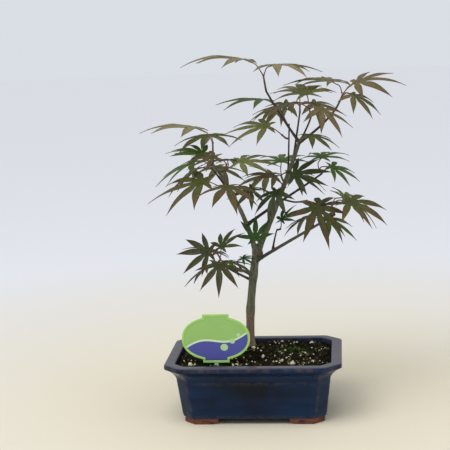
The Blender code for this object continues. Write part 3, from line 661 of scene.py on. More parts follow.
def printed_plastic():
    """Lime face with a royal blue field that a pale wavy line parts off, and three plain dots."""
    made, add, join = shader("printed_plastic", 0.32, Coat_Weight=0.15)
    uv = add("ShaderNodeUVMap", uv_map="UVMap").outputs[0]
    u, v = add("ShaderNodeSeparateXYZ", {0: uv}).outputs[:2]
    swing = maths(add, "MULTIPLY", maths(add, "SINE", maths(add, "MULTIPLY", u, 6.4)), 0.10)
    level = maths(add, "SUBTRACT", maths(add, "ADD", swing, maths(add, "MULTIPLY", u, 0.42)), v)
    level = maths(add, "ADD", level, 0.24)
    line = maths(add, "LESS_THAN", maths(add, "ABSOLUTE", level), 0.022)
    lime = mixed(add, mottle(add, 60, low=0.2, high=0.8), (0.26, 0.49, 0.11), (0.31, 0.54, 0.15))
    face = mixed(add, ramp(add, level, -0.004, 0.004), lime, (0.055, 0.062, 0.32))
    face = mixed(add, line, face, (0.62, 0.78, 0.52))
    for x, y, radius in ((0.62, 0.30, 0.055), (0.74, 0.44, 0.04), (0.83, 0.58, 0.028)):
        gap = add("ShaderNodeVectorMath", {0: uv, 1: (x, y, 0)}, operation="SUBTRACT").outputs[0]
        gap = add("ShaderNodeVectorMath", {0: gap, 1: (1.0, 0.7, 0)}, operation="MULTIPLY").outputs[0]
        far = add("ShaderNodeVectorMath", {0: gap}, operation="LENGTH").outputs["Value"]
        face = mixed(add, maths(add, "LESS_THAN", far, radius), face, (0.42, 0.66, 0.30))
    join(face, "Base Color")
    join(pitted(add, 1200, 0.00005, 0.4), "Normal")
    return made


half_thick = PLATE_THICK / 2
plate_rings, plate_uv = [], []
for inset, y in ((0.25, half_thick), (0.0, half_thick - 0.25), (0.0, 0.25 - half_thick),
                 (0.25, -half_thick), (PLATE_RIM - 0.3, -half_thick), (PLATE_RIM, 0.35 - half_thick)):
    outline = plate_outline(inset)
    ring = np.column_stack([PLATE_AT[0] + outline[:, 0], np.full(len(outline), PLATE_AT[1] + y),
                            PLATE_MIDDLE + outline[:, 1]])
    plate_rings.append(leaned(ring))
    plate_uv.append(outline / (2 * PLATE_HALF) + 0.5)
rows, count = len(plate_rings), len(outline)
plate_finish = np.zeros((rows - 1) * count + 2, int)
plate_finish[-1] = 1
lime_rim = two_tone("lime_rim", (0.30, 0.60, 0.10), (0.38, 0.68, 0.16), 0.35, (90,),
                    (0.00005, 0.4, 1500, EVEN, 0.2, 0.8), Coat_Weight=0.15)
label_plate = mesh_piece("label_plate_printed", np.vstack(plate_rings), closed_faces(rows, count),
                         [lime_rim, printed_plastic()], plate_finish, np.vstack(plate_uv))
label_plate.data.set_sharp_from_angle(angle=math.radians(30))
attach(label_plate, "root")
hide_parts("label_plate")


def clear_plastic():
    """Clear styrene with fine scuffs, a little cloudy."""
    made, add, join = shader("clear_styrene", 0.12, IOR=1.49)
    scuffs = mottle(add, 900, (1, 1, 0.2), 0.55, 0.7)
    join(mixed(add, scuffs, (0.74, 0.78, 0.78), (0.86, 0.88, 0.88)), "Base Color")
    join(ramp(add, scuffs, start=0.45, end=0.7), "Alpha")
    return made


stake_top = PLATE_MIDDLE - PLATE_TAB[1] - STAKE_CLEAR
stake_foot = SOIL_EDGE - STAKE[2]
corners = np.array([(-1, -1), (1, -1), (1, 1), (-1, 1)])
stake_rings = []
for inset, z in ((0.5, stake_foot + 1.2), (0.0, stake_foot + 4), (0.0, stake_top)):
    ring = PLATE_AT + corners * (STAKE[0] / 2 - inset, STAKE[1] / 2 - 0.3 * inset)
    stake_rings.append(leaned(np.column_stack([ring, np.full(4, z)])))
label_stake = mesh_piece("label_stake_clear", np.vstack(stake_rings), closed_faces(3, 4),
                         [clear_plastic()])
edge_round = label_stake.modifiers.new("edges", "BEVEL")
edge_round.width = 0.00025
edge_round.segments = 2
settle(label_stake)
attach(label_stake, "root")
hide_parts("label_stake")


# The trunk and its boughs. A young stem grafted low down leans a little and forks in two, with
# brown bark under the graft, grey-green streaked bark above it and dark red-brown young wood. The
# limbs' surfaces are merged into one skin, so every fork has a smooth crotch.
TRUNK_LEAN = ((-5.6, 17.0, 57.3), (-4.4, 17.0, 90.0), (-0.8, 16.0, 121.0), (3.4, 14.0, 147.8))
TRUNK_BURIED = 2.8
TRUNK_RADIUS = 3.7
TRUNK_FLARE = 1.5
FLARE_HEIGHT = 9.0
GRAFT_AT = 90.0
NODE_AT = 122.0
# Each limb: the limb it grows from and how far along, its length, its heading and rise in degrees
# at the root and at the tip, and its radius there. A heading turns from +X towards +Y. The two
# that share the trunk's flat top stand beside its middle instead, FORK_APART to either side.
FORK_APART = 2.4
FORK_ROOT = 7.0
FORK_SWELL = 0.6
LIMB_CLEAR = 0.3
LIMB_STEPS = 4
LIMBS = {
    "left_stem": ("trunk", -FORK_APART, 85, (-155, 75), (-160, 55), 1.9, 1.1),
    "leader": ("trunk", FORK_APART, 100, (15, 65), (0, 70), 2.5, 1.6),
    "top_left_stem": ("leader", 1.0, 55, (-160, 55), (-155, 60), 1.2, 0.9),
    "top_middle_stem": ("leader", 0.95, 30, (60, 50), (-10, 70), 1.0, 0.8),
    "top_right_stem": ("leader", 1.0, 45, (-20, 30), (-15, 50), 1.3, 0.9),
    "top_back_stem": ("leader", 0.85, 50, (85, 40), (75, 60), 1.1, 0.8),
    "red_shoot": ("leader", 0.7, 45, (80, 75), (80, 80), 0.9, 0.7),
    "lower_left_bough": ("trunk", 0.7, 50, (-120, 30), (-140, 10), 1.5, 1.0),
    "lower_right_bough": ("trunk", 0.85, 90, (-35, 30), (-5, 30), 1.7, 1.0),
    "upper_right_bough": ("left_stem", 0.25, 85, (45, 25), (-15, 35), 1.5, 0.9),
    "small_shoot": ("lower_right_bough", 0.25, 20, (-30, 80), (-30, 70), 0.9, 0.7),
    "back_bough": ("leader", 0.5, 40, (75, 15), (105, 15), 1.4, 0.9),
    "back_left_bough": ("left_stem", 0.5, 50, (115, 25), (130, 35), 1.3, 0.9),
    "back_low_bough": ("trunk", 0.65, 40, (125, 5), (140, 15), 1.3, 0.9),
}
SKIN_VOXEL = 0.38
LIMB_STEP = 0.8
TRUNK_SIDES, LIMB_SIDES, TWIG_SIDES, STALK_SIDES = 40, 16, 10, 8
SCAR_EVERY, SCAR_SWELL, SCAR_WIDTH = 17.0, 0.10, 0.9
FISSURE, FISSURE_OLD, FISSURE_YOUNG, YOUNG_ABOVE = 0.05, 0.10, 0.03, 146
WOOD_AGES = {"trunk": 0.0, "left_stem": 0.12, "leader": 0.18, "lower_right_bough": 0.6,
             "lower_left_bough": 0.45}
YOUNG, TIP_YOUNGER = 0.95, 0.15
AT_ONCE = 20000


def smooth_path(points, spacing, least=2):
    """Points about a spacing apart on a Catmull-Rom curve through the given ones."""
    given = np.asarray(points, float)
    ends = np.vstack([2 * given[0] - given[1], given, 2 * given[-1] - given[-2]])
    path = [given[:1]]
    for i in range(len(given) - 1):
        a, b, c, d = ends[i:i + 4]
        steps = max(least, round(np.linalg.norm(c - b) / spacing))
        t = (np.arange(1, steps + 1) / steps)[:, None]
        path.append(0.5 * (2 * b + (c - a) * t + (2 * a - 5 * b + 4 * c - d) * t * t
                           + (3 * b - a - 3 * c + d) * t ** 3))
    return np.vstack(path)


def tube(path, radii, sides):
    """Rings square to a path, carried along it without twist, each end closed to a point.

    Returns points and faces. radii is one number per path point, or one row of numbers round it.
    """
    along = np.gradient(path, axis=0)
    along /= np.linalg.norm(along, axis=1)[:, None]
    side = np.cross(along[0], (0.31, 0.95, 0.05))
    axes = []
    for way in along:
        side = side - way * side.dot(way)
        side /= np.linalg.norm(side)
        axes.append((side, np.cross(way, side)))
    axes = np.array(axes)
    turn = 2 * math.pi * np.arange(sides) / sides
    round_it = np.cos(turn)[:, None] * axes[:, None, 0] + np.sin(turn)[:, None] * axes[:, None, 1]
    radii = np.asarray(radii, float).reshape(len(path), -1)
    rings = path[:, None] + round_it * radii[..., None]
    ends = [path[0] - along[0] * radii[0].mean() * 0.6, path[-1] + along[-1] * radii[-1].mean() * 0.9]
    points = np.vstack([rings.reshape(-1, 3), ends])
    total = len(path) * sides
    return points, [grid_faces(len(path), sides), cap_faces(0, sides, total, True),
                    cap_faces(total - sides, sides, total + 1)]


def trunk_radii(path, sides):
    """The trunk's radius by height and turn: a lobed flare at the foot, two old knots and a taper."""
    foot, fork = TRUNK_LEAN[0][2], TRUNK_LEAN[-1][2]
    z = path[:, 2]
    flare = np.clip(1 - (z - foot) / FLARE_HEIGHT, 0, 1.3) ** 2
    radius = TRUNK_RADIUS * (1.03 - 0.08 * (z - foot) / (fork - foot))
    for knot, swell in ((GRAFT_AT, 0.14), (NODE_AT, 0.16)):
        radius = radius * (1 + swell * np.exp(-((z - knot) / 5.0) ** 2))
    radius = radius + TRUNK_FLARE * flare
    turn = 2 * math.pi * np.arange(sides) / sides
    return radius[:, None] * (1 + 0.16 * flare[:, None] * np.cos(5 * turn + 0.6)[None]) * 0.985


def way_of(heading, rise):
    """The unit vector with a heading and a rise in degrees."""
    heading, rise = math.radians(heading), math.radians(rise)
    return np.array([math.cos(heading) * math.cos(rise), math.sin(heading) * math.cos(rise),
                     math.sin(rise)])


def place_along(limb, share):
    """The point a share of the way along a limb's course."""
    course = courses[limb]
    gone = np.concatenate([[0], np.cumsum(np.linalg.norm(np.diff(course, axis=0), axis=1))])
    return np.array([np.interp(share * gone[-1], gone, course[:, k]) for k in range(3)])


def grow_course(name):
    """Points of a limb's centre line, grown in equal steps as its heading and rise change evenly."""
    parent, seat, length, root, tip = LIMBS[name][:5]
    if abs(seat) == FORK_APART:
        course = [courses[parent][-1] + (seat, 0, LIMB_CLEAR)]
    else:
        course = [place_along(parent, seat)]
    for step in range(LIMB_STEPS):
        turn = np.array(root) + (np.array(tip) - root) * (step + 0.5) / LIMB_STEPS
        course.append(course[-1] + length / LIMB_STEPS * way_of(*turn))
    return np.array(course)


def limb_line(name):
    """A limb's centre line and its radius at each point, with a collar where it leaves its parent.

    The fork's two limbs start thicker, and as deep inside the trunk as FORK_ROOT.
    """
    seat, (root, tip) = LIMBS[name][1], LIMBS[name][5:]
    points = courses[name]
    if abs(seat) == FORK_APART:
        points = np.vstack([points[0] - (0.6 * seat, 0, FORK_ROOT), points])
        root += FORK_SWELL
    path = smooth_path(points, LIMB_STEP)
    share = np.linspace(0, 1, len(path))
    gone = share * np.linalg.norm(np.diff(path, axis=0), axis=1).sum()
    collar = 0.35 * root * np.exp(-(gone - TRUNK_RADIUS) / 2.2) * (gone < 14)
    return path, root + (tip - root) * share + np.minimum(collar, 0.4 * root)


courses = {"trunk": np.array(TRUNK_LEAN)}
buried = courses["trunk"][:1] - (0, 0, TRUNK_BURIED)
trunk_path = smooth_path(np.vstack([buried, courses["trunk"]]), LIMB_STEP)
shapes = [tube(trunk_path, trunk_radii(trunk_path, TRUNK_SIDES), TRUNK_SIDES)]
limb_lines = {"trunk": (trunk_path, trunk_radii(trunk_path, 1)[:, 0])}
for name in LIMBS:
    courses[name] = grow_course(name)
    limb_lines[name] = limb_line(name)
    path, radii = limb_lines[name]
    # Old leaf scars ring each limb as low swellings.
    gone = np.arange(len(path)) * LIMB_STEP
    rings = 1 + SCAR_SWELL * np.exp(-((gone % SCAR_EVERY - SCAR_EVERY / 2) / SCAR_WIDTH) ** 2)
    shapes.append(tube(path, radii * rings, LIMB_SIDES))


def bark():
    """Bark by height and by age of wood.

    Under the graft it is warm brown, above it grey-green with pale streaks along the stem, and
    young wood is dark red-brown. The mark "young" holds the age, 0 for the trunk and 1 for twigs.
    """
    made, add, join = shader("maple_bark", 0.62)
    streaks = mottle(add, 900, (1, 1, 0.07), 0.46, 0.62)
    fine = mottle(add, 1500, (1, 1, 0.25), 0.35, 0.7)
    green = mixed(add, fine, (0.066, 0.082, 0.038), (0.145, 0.160, 0.086))
    green = mixed(add, maths(add, "MULTIPLY", streaks, 0.6), green, (0.30, 0.30, 0.20))
    brown = mixed(add, fine, (0.180, 0.120, 0.078), (0.350, 0.245, 0.165))
    brown = mixed(add, mottle(add, 380, (1, 1, 0.4), 0.52, 0.68), brown, (0.050, 0.028, 0.022))
    twig = mixed(add, fine, (0.030, 0.018, 0.016), (0.070, 0.036, 0.028))
    colour = mixed(add, marked(add, "young"), green, twig)
    join(mixed(add, marked(add, "graft"), colour, brown), "Base Color")
    join(bumped(add, mottle(add, 1300, (1, 1, 0.12), 0.3, 0.7), 0.0005, 0.9), "Normal")
    return made


bark_skin = mesh_piece("bark_skin", *joined(shapes), [bark()])
skin = bark_skin.modifiers.new("skin", "REMESH")
skin.mode = "VOXEL"
skin.voxel_size = SKIN_VOXEL * MM
ease = bark_skin.modifiers.new("ease", "SMOOTH")
ease.factor = 0.5
ease.iterations = 3
settle(bark_skin)
mesh = bark_skin.data
mesh.materials.clear()
mesh.materials.append(bpy.data.materials["maple_bark"])
co, normals = np.empty((2, len(mesh.vertices) * 3), np.float32)
mesh.vertices.foreach_get("co", co)
mesh.vertices.foreach_get("normal", normals)
co, normals = (co.reshape(-1, 3) - POT_AT) / MM, normals.reshape(-1, 3)
# Shallow fissures run up the stem, stronger on the old wood under the graft.
turn, z = np.arctan2(normals[:, 1], normals[:, 0]), co[:, 2].copy()
wander = np.sin(z * 0.33) * 0.6 + np.sin(z * 0.12 + 1) * 0.9
fissure = np.sin(turn * 9 + wander) + 0.6 * np.sin(turn * 15 - 1.4 * wander + z * 0.2)
graft = np.clip((GRAFT_AT + 3 - z + 2.0 * np.sin(turn * 3 + 1)) / 7, 0, 1)
depth = np.where(z < YOUNG_ABOVE, FISSURE + FISSURE_OLD * graft, FISSURE_YOUNG)
co += normals * (depth * np.clip(fissure, -1, 1))[:, None]
mesh.vertices.foreach_set("co", (POT_AT + co * MM).astype(np.float32).ravel())


def wood_age(points):
    """How young the wood is at each point, by the limb that it lies nearest to."""
    nearest, age = np.full(len(points), 1e9), np.zeros(len(points))
    for name, (path, radii) in limb_lines.items():
        for start in range(0, len(points), AT_ONCE):
            part = slice(start, start + AT_ONCE)
            gap = np.linalg.norm(points[part, None] - path[None, ::3], axis=-1) - radii[None, ::3]
            least = gap.min(axis=1)
            share = gap.argmin(axis=1) / len(path[::3])
            own = WOOD_AGES.get(name, YOUNG) + TIP_YOUNGER * share
            closer = least < nearest[part]
            age[part] = np.where(closer, own, age[part])
            nearest[part] = np.minimum(least, nearest[part])
    return np.clip(age, 0, 1)


for mark, values in (("young", wood_age(co)), ("graft", graft)):
    layer = mesh.attributes.new(mark, "FLOAT", "POINT")
    layer.data.foreach_set("value", values.astype(np.float32))
mesh.shade_smooth()
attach(bark_skin, "root")
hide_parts("trunk", *LIMBS)


# The foliage. Each mass is a thin red-brown twig off its limb. Leaf stalks leave its end in turn,
# and each carries one blade of seven pointed, toothed lobes that droops to its tips.
SEED = 11
LOBES = ((-125, 0.36, 0.052), (-75, 0.74, 0.078), (-36, 0.93, 0.092), (0, 1.0, 0.096),
         (36, 0.93, 0.092), (75, 0.74, 0.078), (125, 0.36, 0.052))
HEEL = 0.09
NOTCHES = ((-180, HEEL), (-100, 0.13), (-55, 0.18), (-18, 0.21), (18, 0.21), (55, 0.18), (100, 0.13),
           (180, HEEL))
DROOP = 0.14
TWIG_RADIUS = (0.95, 0.75)
TWIG_SAG = 0.04
STALK_RADIUS = 0.48
STALK_ROOT = 0.6
STALK_END = 0.4
STALK_BOW = 0.06
STALK = 0.4
STALK_LIFT = 30
TURNS_BACK = 40
FAN = ((-60, 0.9, -30), (0, 1.0, 15), (60, 0.9, -30))  # turn, share of the length, pitch
FAN_TIP = 20


def fan(length, heading, *colours):
    """Three leaves about a heading, as a shoot ends: a raised one between two that droop."""
    return tuple((length * share, heading + turn, pitch, FAN_TIP, colour)
                 for (turn, share, pitch), colour in zip(FAN, colours))


# Each mass: its limb, how far along, the length, heading and rise of its stem, and its leaves. A
# leaf is its middle lobe's length, its heading and pitch, how far it tips to the front, or to the
# back beyond TURNS_BACK, and its colour. Its stalk is STALK of its length and rises STALK_LIFT more.
MASSES = {
    "top_left": ("top_left_stem", 1.0, (15, -120, 75), (
        (55, 180, 10, 0, "straw"), (45, -45, 0, 0, "straw"))),
    "inner_left": ("top_left_stem", 0.3, (20, 120, 45), (
        (45, 180, 5, 0, "green"), (30, 120, -20, 0, "olive"))),
    "top_middle": ("top_middle_stem", 1.0, (40, -90, 15), (
        (40, 105, 20, 20, "sage"), (40, -165, -10, 0, "umber"), (35, -45, -30, 0, "tan"))),
    "top_right": ("top_right_stem", 1.0, (15, -30, 60), (
        (45, 135, 10, 0, "khaki"), (40, -15, 10, 20, "tan"), (30, -45, -30, 0, "khaki"))),
    "top_fork": ("top_right_stem", 0.2, (10, -120, 0), ((30, -45, -15, 0, "olive"),)),
    "red_shoot": ("red_shoot", 0.7, (20, -105, 15), ((40, 180, 0, 20, "sage"),)),
    "left_crown": ("left_stem", 0.9, (10, -30, 15), (
        (35, 0, 0, 20, "sage"), (35, 90, 0, 0, "dark"))),
    "far_left": ("left_stem", 1.0, (20, 90, 75), (
        (50, 180, 10, 0, "straw"), (45, 105, -15, 0, "lime"))),
    "left": ("left_stem", 0.95, (10, 120, 15), (
        (30, 165, 20, 20, "green"), (40, -165, -20, 0, "green"))),
    "left_low": ("left_stem", 0.8, (25, -75, 40), ((30, 180, 0, 20, "umber"),)),
    "left_front": ("left_stem", 0.7, (35, -90, 5), (
        (50, 180, -10, 20, "copper"), (40, -75, -15, 0, "umber"))),
    "centre": ("leader", 0.5, (25, -135, 20), ((25, -135, -30, 40, "dark"),)),
    "centre_right": ("leader", 0.6, (15, -90, 0), (
        (35, 0, 15, 40, "dark"), (30, -120, -45, 0, "dark"), (30, -165, 20, 20, "umber"))),
    "right_front": ("upper_right_bough", 0.5, (45, -60, 5), ((40, -60, -45, 0, "russet"),)),
    "fork": ("lower_right_bough", 0.1, (20, -105, 30), ((25, 90, 60, 0, "fresh"),)),
    "small_shoot": ("small_shoot", 1.0, (5, -45, 15), ((20, 45, 45, 0, "fresh"),)),
    "lower_left": ("lower_left_bough", 1.0, (10, -45, 45), (
        (30, 180, 0, 60, "dusk"), (30, -90, -45, 0, "dusk"), (25, 60, 45, 0, "sedge"))),
    "trunk_left": ("lower_left_bough", 0.35, (10, -150, 60), ((15, 0, 0, 20, "fresh"),)),
    "right": ("lower_right_bough", 1.0, (10, 120, 60), (
        (40, 45, -15, 40, "lime"), (40, -15, -20, 20, "copper"))),
    "right_upper": ("upper_right_bough", 1.0, (5, 180, 45), (
        (30, 0, -20, 20, "green"), (35, 75, 15, 0, "green"))),
    "back_top": ("top_back_stem", 1.0, (10, 90, 45), fan(40, 90, "khaki", "tan", "olive")),
    "back": ("back_bough", 1.0, (5, 105, 30), fan(40, 90, "dark", "green", "olive")),
    "back_left": ("back_left_bough", 1.0, (5, 135, 30), fan(40, 135, "olive", "green", "umber")),
    "back_right": ("lower_right_bough", 0.65, (30, 75, 15), fan(35, 60, "green", "dusk", "dark")),
    "back_low": ("back_low_bough", 1.0, (5, 135, 30), fan(35, 135, "green", "dusk", "dark")),
}
# Each colour of leaf: its heart, its lobes' ends, and the stalk that goes with it.
LEAF_COLOURS = {
    "straw": ((0.270, 0.215, 0.100), (0.250, 0.180, 0.095), "red"),
    "sage": ((0.185, 0.190, 0.062), (0.180, 0.145, 0.060), "red"),
    "khaki": ((0.165, 0.138, 0.056), (0.150, 0.104, 0.048), "red"),
    "tan": ((0.165, 0.122, 0.052), (0.150, 0.094, 0.046), "red"),
    "olive": ((0.120, 0.135, 0.030), (0.125, 0.102, 0.034), "red"),
    "umber": ((0.090, 0.070, 0.024), (0.112, 0.068, 0.027), "red"),
    "copper": ((0.068, 0.080, 0.018), (0.118, 0.072, 0.027), "red"),
    "russet": ((0.048, 0.054, 0.013), (0.088, 0.052, 0.022), "red"),
    "dusk": ((0.042, 0.048, 0.014), (0.068, 0.048, 0.020), "red"),
    "green": ((0.075, 0.145, 0.018), (0.105, 0.130, 0.028), "green"),
    "lime": ((0.150, 0.190, 0.028), (0.135, 0.115, 0.030), "green"),
    "sedge": ((0.058, 0.082, 0.022), (0.080, 0.080, 0.028), "green"),
    "dark": ((0.030, 0.048, 0.012), (0.048, 0.050, 0.016), "green"),
    "fresh": ((0.028, 0.092, 0.010), (0.042, 0.085, 0.014), "green"),
}
NEAR_ROWS = 6
FAR_ROWS = 36
ACROSS = np.array((0.0, 0.1, 0.4, 0.74, 1.0))
TEETH = 12
BLADE_THICK = 0.42


def lobe_grid():
    """Where each point of a blade's grid lies: lobe, side, how near the notch, how far past it."""
    near = np.concatenate([np.linspace(0, 1, NEAR_ROWS + 1), np.ones(FAR_ROWS)])
    past = np.concatenate([np.zeros(NEAR_ROWS), np.linspace(0, 1, FAR_ROWS + 1)])
    return np.meshgrid(np.arange(7), (-1, 1), np.arange(len(near)), ACROSS, indexing="ij"), near, past


def lobe_draws(random):
    """What sets one blade's lobes apart, one row a lobe: turn, reach, droop, bend, twist, curl."""
    shape = [(random.uniform(-4, 4), random.uniform(0.94, 1.05), random.uniform(0.6, 1.4))
             for _ in LOBES]
    habit = random.uniform((-0.05, -0.35, 0.02), (0.05, 0.35, 0.14), (len(LOBES), 3))
    return np.column_stack([shape, habit])


def blade_surface(length, draws):
    """A blade's middle surface and half thickness on the lobe grid, in the blade's own axes.

    A lobe's margin leaves the foot straight to the notch, then eases into a lance shape with a drip
    tip: half width times share * (1 - share) ** 1.4 / 0.196, share being how far out the point is,
    with a fine saw of teeth. Each side is lifted off the rib, and the whole falls by the square of
    the distance, DROOP of it near the foot and each lobe's own share of DROOP further out.
    """
    (lobe, side, row, across), near, past = lobe_grid()
    near, past = near[row], past[row]
    lobe_turn, lobe_reach, halves = np.array(LOBES).T
    turns, reaches = np.radians(lobe_turn + draws[:, 0]), lobe_reach * draws[:, 1]
    droops, (bends, twists, curls) = DROOP * draws[:, 2], draws[:, 3:].T
    notch_turn, notch_reach = np.array(NOTCHES).T
    gap_turn = np.radians(np.column_stack([notch_turn[:-1], notch_turn[1:]]))
    gap_reach = np.column_stack([notch_reach[:-1], notch_reach[1:]])
    which = (side > 0).astype(int)
    aside = gap_turn - turns[:, None]
    notch_far = (gap_reach * np.cos(aside))[lobe, which]
    notch_off = (gap_reach * np.abs(np.sin(aside)))[lobe, which]
    rib_far = (gap_reach * np.cos(aside)).mean(axis=1)[lobe]
    reach, half = reaches[lobe], halves[lobe]
    rib = rib_far * near + (reach - rib_far) * past
    far = rib + (notch_far * near + (reach - notch_far) * past - rib) * across
    share = notch_far / reach + past * (1 - notch_far / reach)
    lance = half * share * (1 - share) ** 1.4 / 0.196
    eased = np.clip(past / 0.18, 0, 1)
    eased = eased ** 2 * (3 - 2 * eased)
    saw = (past * TEETH) % 1.0
    tooth = 0.009 * (saw - 0.33) * np.minimum(past * 8, 1) * (1 - past)
    off = notch_off * near * (1 - eased) + lance * eased + tooth
    lift = 0.10 * gap_reach[lobe, which] * near * (1 - past) ** 3
    lift = lift + 0.26 * off * (1 - (1 - past) ** 3)
    wave = 0.005 * np.sin(past * 9 + lobe * 2.1 + side) * past * (1 - past) * 4
    y = side * off * across + bends[lobe] * past ** 2 * reach
    turn = turns[lobe]
    px = far * np.cos(turn) - y * np.sin(turn)
    py = far * np.sin(turn) + y * np.cos(turn)
    drop = DROOP + (droops[lobe] - DROOP) * np.minimum(past * 3, 1)
    z = (lift + wave) * across + side * off * across * np.tan(twists[lobe] * past)
    z = z - drop * (px ** 2 + py ** 2) - curls[lobe] * past ** 3 * reach
    thick = (1 - across ** 4) * 0.5 * BLADE_THICK / length
    thick = thick + 0.006 * np.exp(-(across / 0.12) ** 2) * (1 - 0.8 * past) * np.minimum(near * 2, 1)
    return np.stack([px, py, z], axis=-1), thick, past, across, far


def blade_faces():
    """Which grid points are one and the same, and the faces of a blade between its two skins.

    Points merge at the foot, along each rib, at each tip and along each line from the foot to a
    notch. Round the margin and along the heel the upper and the lower skin meet.
    """
    lobe, side, row, column = np.indices((len(LOBES), 2, NEAR_ROWS + FAR_ROWS + 1, len(ACROSS)))
    number = np.arange(lobe.size).reshape(lobe.shape)
    rim = (column == len(ACROSS) - 1) & (row >= NEAR_ROWS) | (row == NEAR_ROWS + FAR_ROWS)
    rim[0, 0, :, -1] = rim[-1, 1, :, -1] = True
    same = number.copy()
    same[:, 1, :, 0] = same[:, 0, :, 0]
    same[1:, 0, :NEAR_ROWS + 1, -1] = same[:-1, 1, :NEAR_ROWS + 1, -1]
    same[-1, 1, :NEAR_ROWS + 1, -1] = same[0, 0, :NEAR_ROWS + 1, -1]
    same[:, :, -1] = same[:, :1, -1, :1]
    same[:, :, 0] = 0
    first, same = np.unique(same, return_index=True, return_inverse=True)[1:]
    same = same.reshape(-1)
    rim_spot = np.zeros(len(first), bool)
    np.logical_or.at(rim_spot, same, rim.reshape(-1))
    top = np.arange(len(first))
    bottom = np.where(rim_spot, top, len(first) + np.cumsum(~rim_spot) - 1)
    source = np.concatenate([first, first[~rim_spot]])
    under = np.concatenate([np.zeros(len(first)), np.ones((~rim_spot).sum())])
    a, b = number[..., :-1, :-1], number[..., 1:, :-1]
    c, d = number[..., 1:, 1:], number[..., :-1, 1:]
    quads = np.stack([a, b, c, d], axis=-1)
    quads[:, 0] = quads[:, 0, :, :, ::-1]
    quads = same[quads.reshape(-1, 4)]
    skins = np.vstack([top[quads], bottom[quads][:, ::-1]])
    repeats = [skins[:, i] == skins[:, (i + 1) % 4] for i in range(4)]
    count = sum(r.astype(int) for r in repeats)
    whole = skins[count == 0]
    thirds = [np.delete(skins[(count == 1) & repeats[i]], i, axis=1) for i in range(4)]
    return source, under, whole, np.vstack(thirds)


source, under_side, blade_quads, blade_thirds = blade_faces()


def leaf_axes(heading, pitch, roll):
    """Unit vectors of a blade: along its middle lobe, to its left, and up from its face."""
    roll = math.radians(roll)
    along, level = way_of(heading, pitch), way_of(heading + 90, 0)
    left = math.cos(roll) * level + math.sin(roll) * np.cross(along, level)
    return np.array([along, left, np.cross(along, left)])


def blade(foot, length, axes, random):
    """Points of one finished blade, its UV (along the lobe, across it) and its lobes' ends mark."""
    middle, thick, past, across, far = blade_surface(length, lobe_draws(random))
    middle, thick = middle.reshape(-1, 3)[source], thick.reshape(-1)[source]
    middle[:, 2] += np.where(under_side > 0, -1.0, 1.0) * thick
    uv = np.column_stack([far.reshape(-1)[source], across.reshape(-1)[source]])
    return foot + middle * length @ axes, uv, past.reshape(-1)[source]


def stalk_path(start, way, foot, axes):
    """A leaf stalk's line: out along the twig, a slight bow, and in under the blade's heel."""
    span = np.linalg.norm(foot - start)
    lift = start + way * span * 0.25 + np.array([0, 0, STALK_BOW * span])
    near = foot - (axes[0] + 0.25 * axes[2]) * min(0.3 * span, 6.0)
    return smooth_path([start, (lift + near) / 2, near, foot - axes[0] * STALK_END], 1.2)


def leaf_marks_group():
    """Markings that all leaves share: colour from Heart to Tip, blotches, margins and veins.

    The blade's UV gives the veins. Its second number is 0 on the rib and 1 at the margin, and side
    veins slant off the rib where the first plus a share of the second passes each step.
    """
    group, add, give, source = node_group(
        "leaf_marks", (("Heart", "NodeSocketColor", (0.1, 0.1, 0.1, 1)),
                       ("Tip", "NodeSocketColor", (0.1, 0.1, 0.1, 1))),
        (("Color", "NodeSocketColor"), ("Vein", "NodeSocketFloat")))
    uv = add("ShaderNodeUVMap", uv_map="UVMap").outputs[0]
    far, across = add("ShaderNodeSeparateXYZ", {0: uv}).outputs[:2]
    blend = maths(add, "ADD", marked(add, "ends"), maths(add, "MULTIPLY", across, 0.25))
    colour = mixed(add, ramp(add, blend, 0.05, 0.75), source["Heart"], source["Tip"])
    greener = mixed(add, 1.0, colour, (0.62, 0.96, 0.62), "MULTIPLY")
    colour = mixed(add, maths(add, "MULTIPLY", mottle(add, 170, low=0.42, high=0.62), 0.75), colour, greener)
    dim = mixed(add, mottle(add, 420, low=0.3, high=0.7), (0.74, 0.74, 0.74), (1.24, 1.24, 1.24))
    colour = mixed(add, 1.0, colour, dim, "MULTIPLY")
    phase = maths(add, "SUBTRACT", maths(add, "MULTIPLY", far, 26.0), maths(add, "MULTIPLY", across, 1.6))
    away = maths(add, "ABSOLUTE", maths(add, "SUBTRACT", maths(add, "FRACT", phase), 0.5))
    side_vein = maths(add, "MULTIPLY", maths(add, "GREATER_THAN", away, 0.42), 0.45)
    vein = maths(add, "MAXIMUM", ramp(add, across, 0.03, 0.12, 1.0, 0.0), side_vein)
    pale = mixed(add, 1.0, source["Heart"], (0.022, 0.020, 0.008), "ADD")
    pale = mixed(add, 1.0, pale, (1.35, 1.30, 1.20), "MULTIPLY")
    colour = mixed(add, maths(add, "MULTIPLY", vein, 0.5), colour, pale)
    colour = mixed(add, ramp(add, across, 0.78, 0.97, end=0.5), colour, (0.030, 0.020, 0.012))
    # Painted light: the underside is brightened as if lit by the pale surroundings.
    soft = mixed(add, 1.0, colour, (0.050, 0.048, 0.038), "ADD")
    give(mixed(add, maths(add, "MULTIPLY", marked(add, "under"), 0.9), colour, soft), "Color")
    give(vein, "Vein")
    return group


leaf_marks = leaf_marks_group()


def veined(name, heart, tip):
    """Leaf skin: its own colours under the shared markings, with a low sheen."""
    made, add, join = shader(name, 0.45, Specular_IOR_Level=0.22)
    marks = add("ShaderNodeGroup", {"Heart": (*heart, 1.0), "Tip": (*tip, 1.0)}, node_tree=leaf_marks)
    join(marks.outputs["Color"], "Base Color")
    join(bumped(add, maths(add, "MULTIPLY", marks.outputs["Vein"], -1.0), 0.00025, 0.8), "Normal")
    return made


def stalk_skin(name, dark, light):
    """Smooth young bark or a leaf stalk, shaded a little along its length."""
    return two_tone(name, dark, light, 0.4, (220, (1, 1, 0.5)), (0.0002, 0.5, 1400, (1, 1, 0.3)))


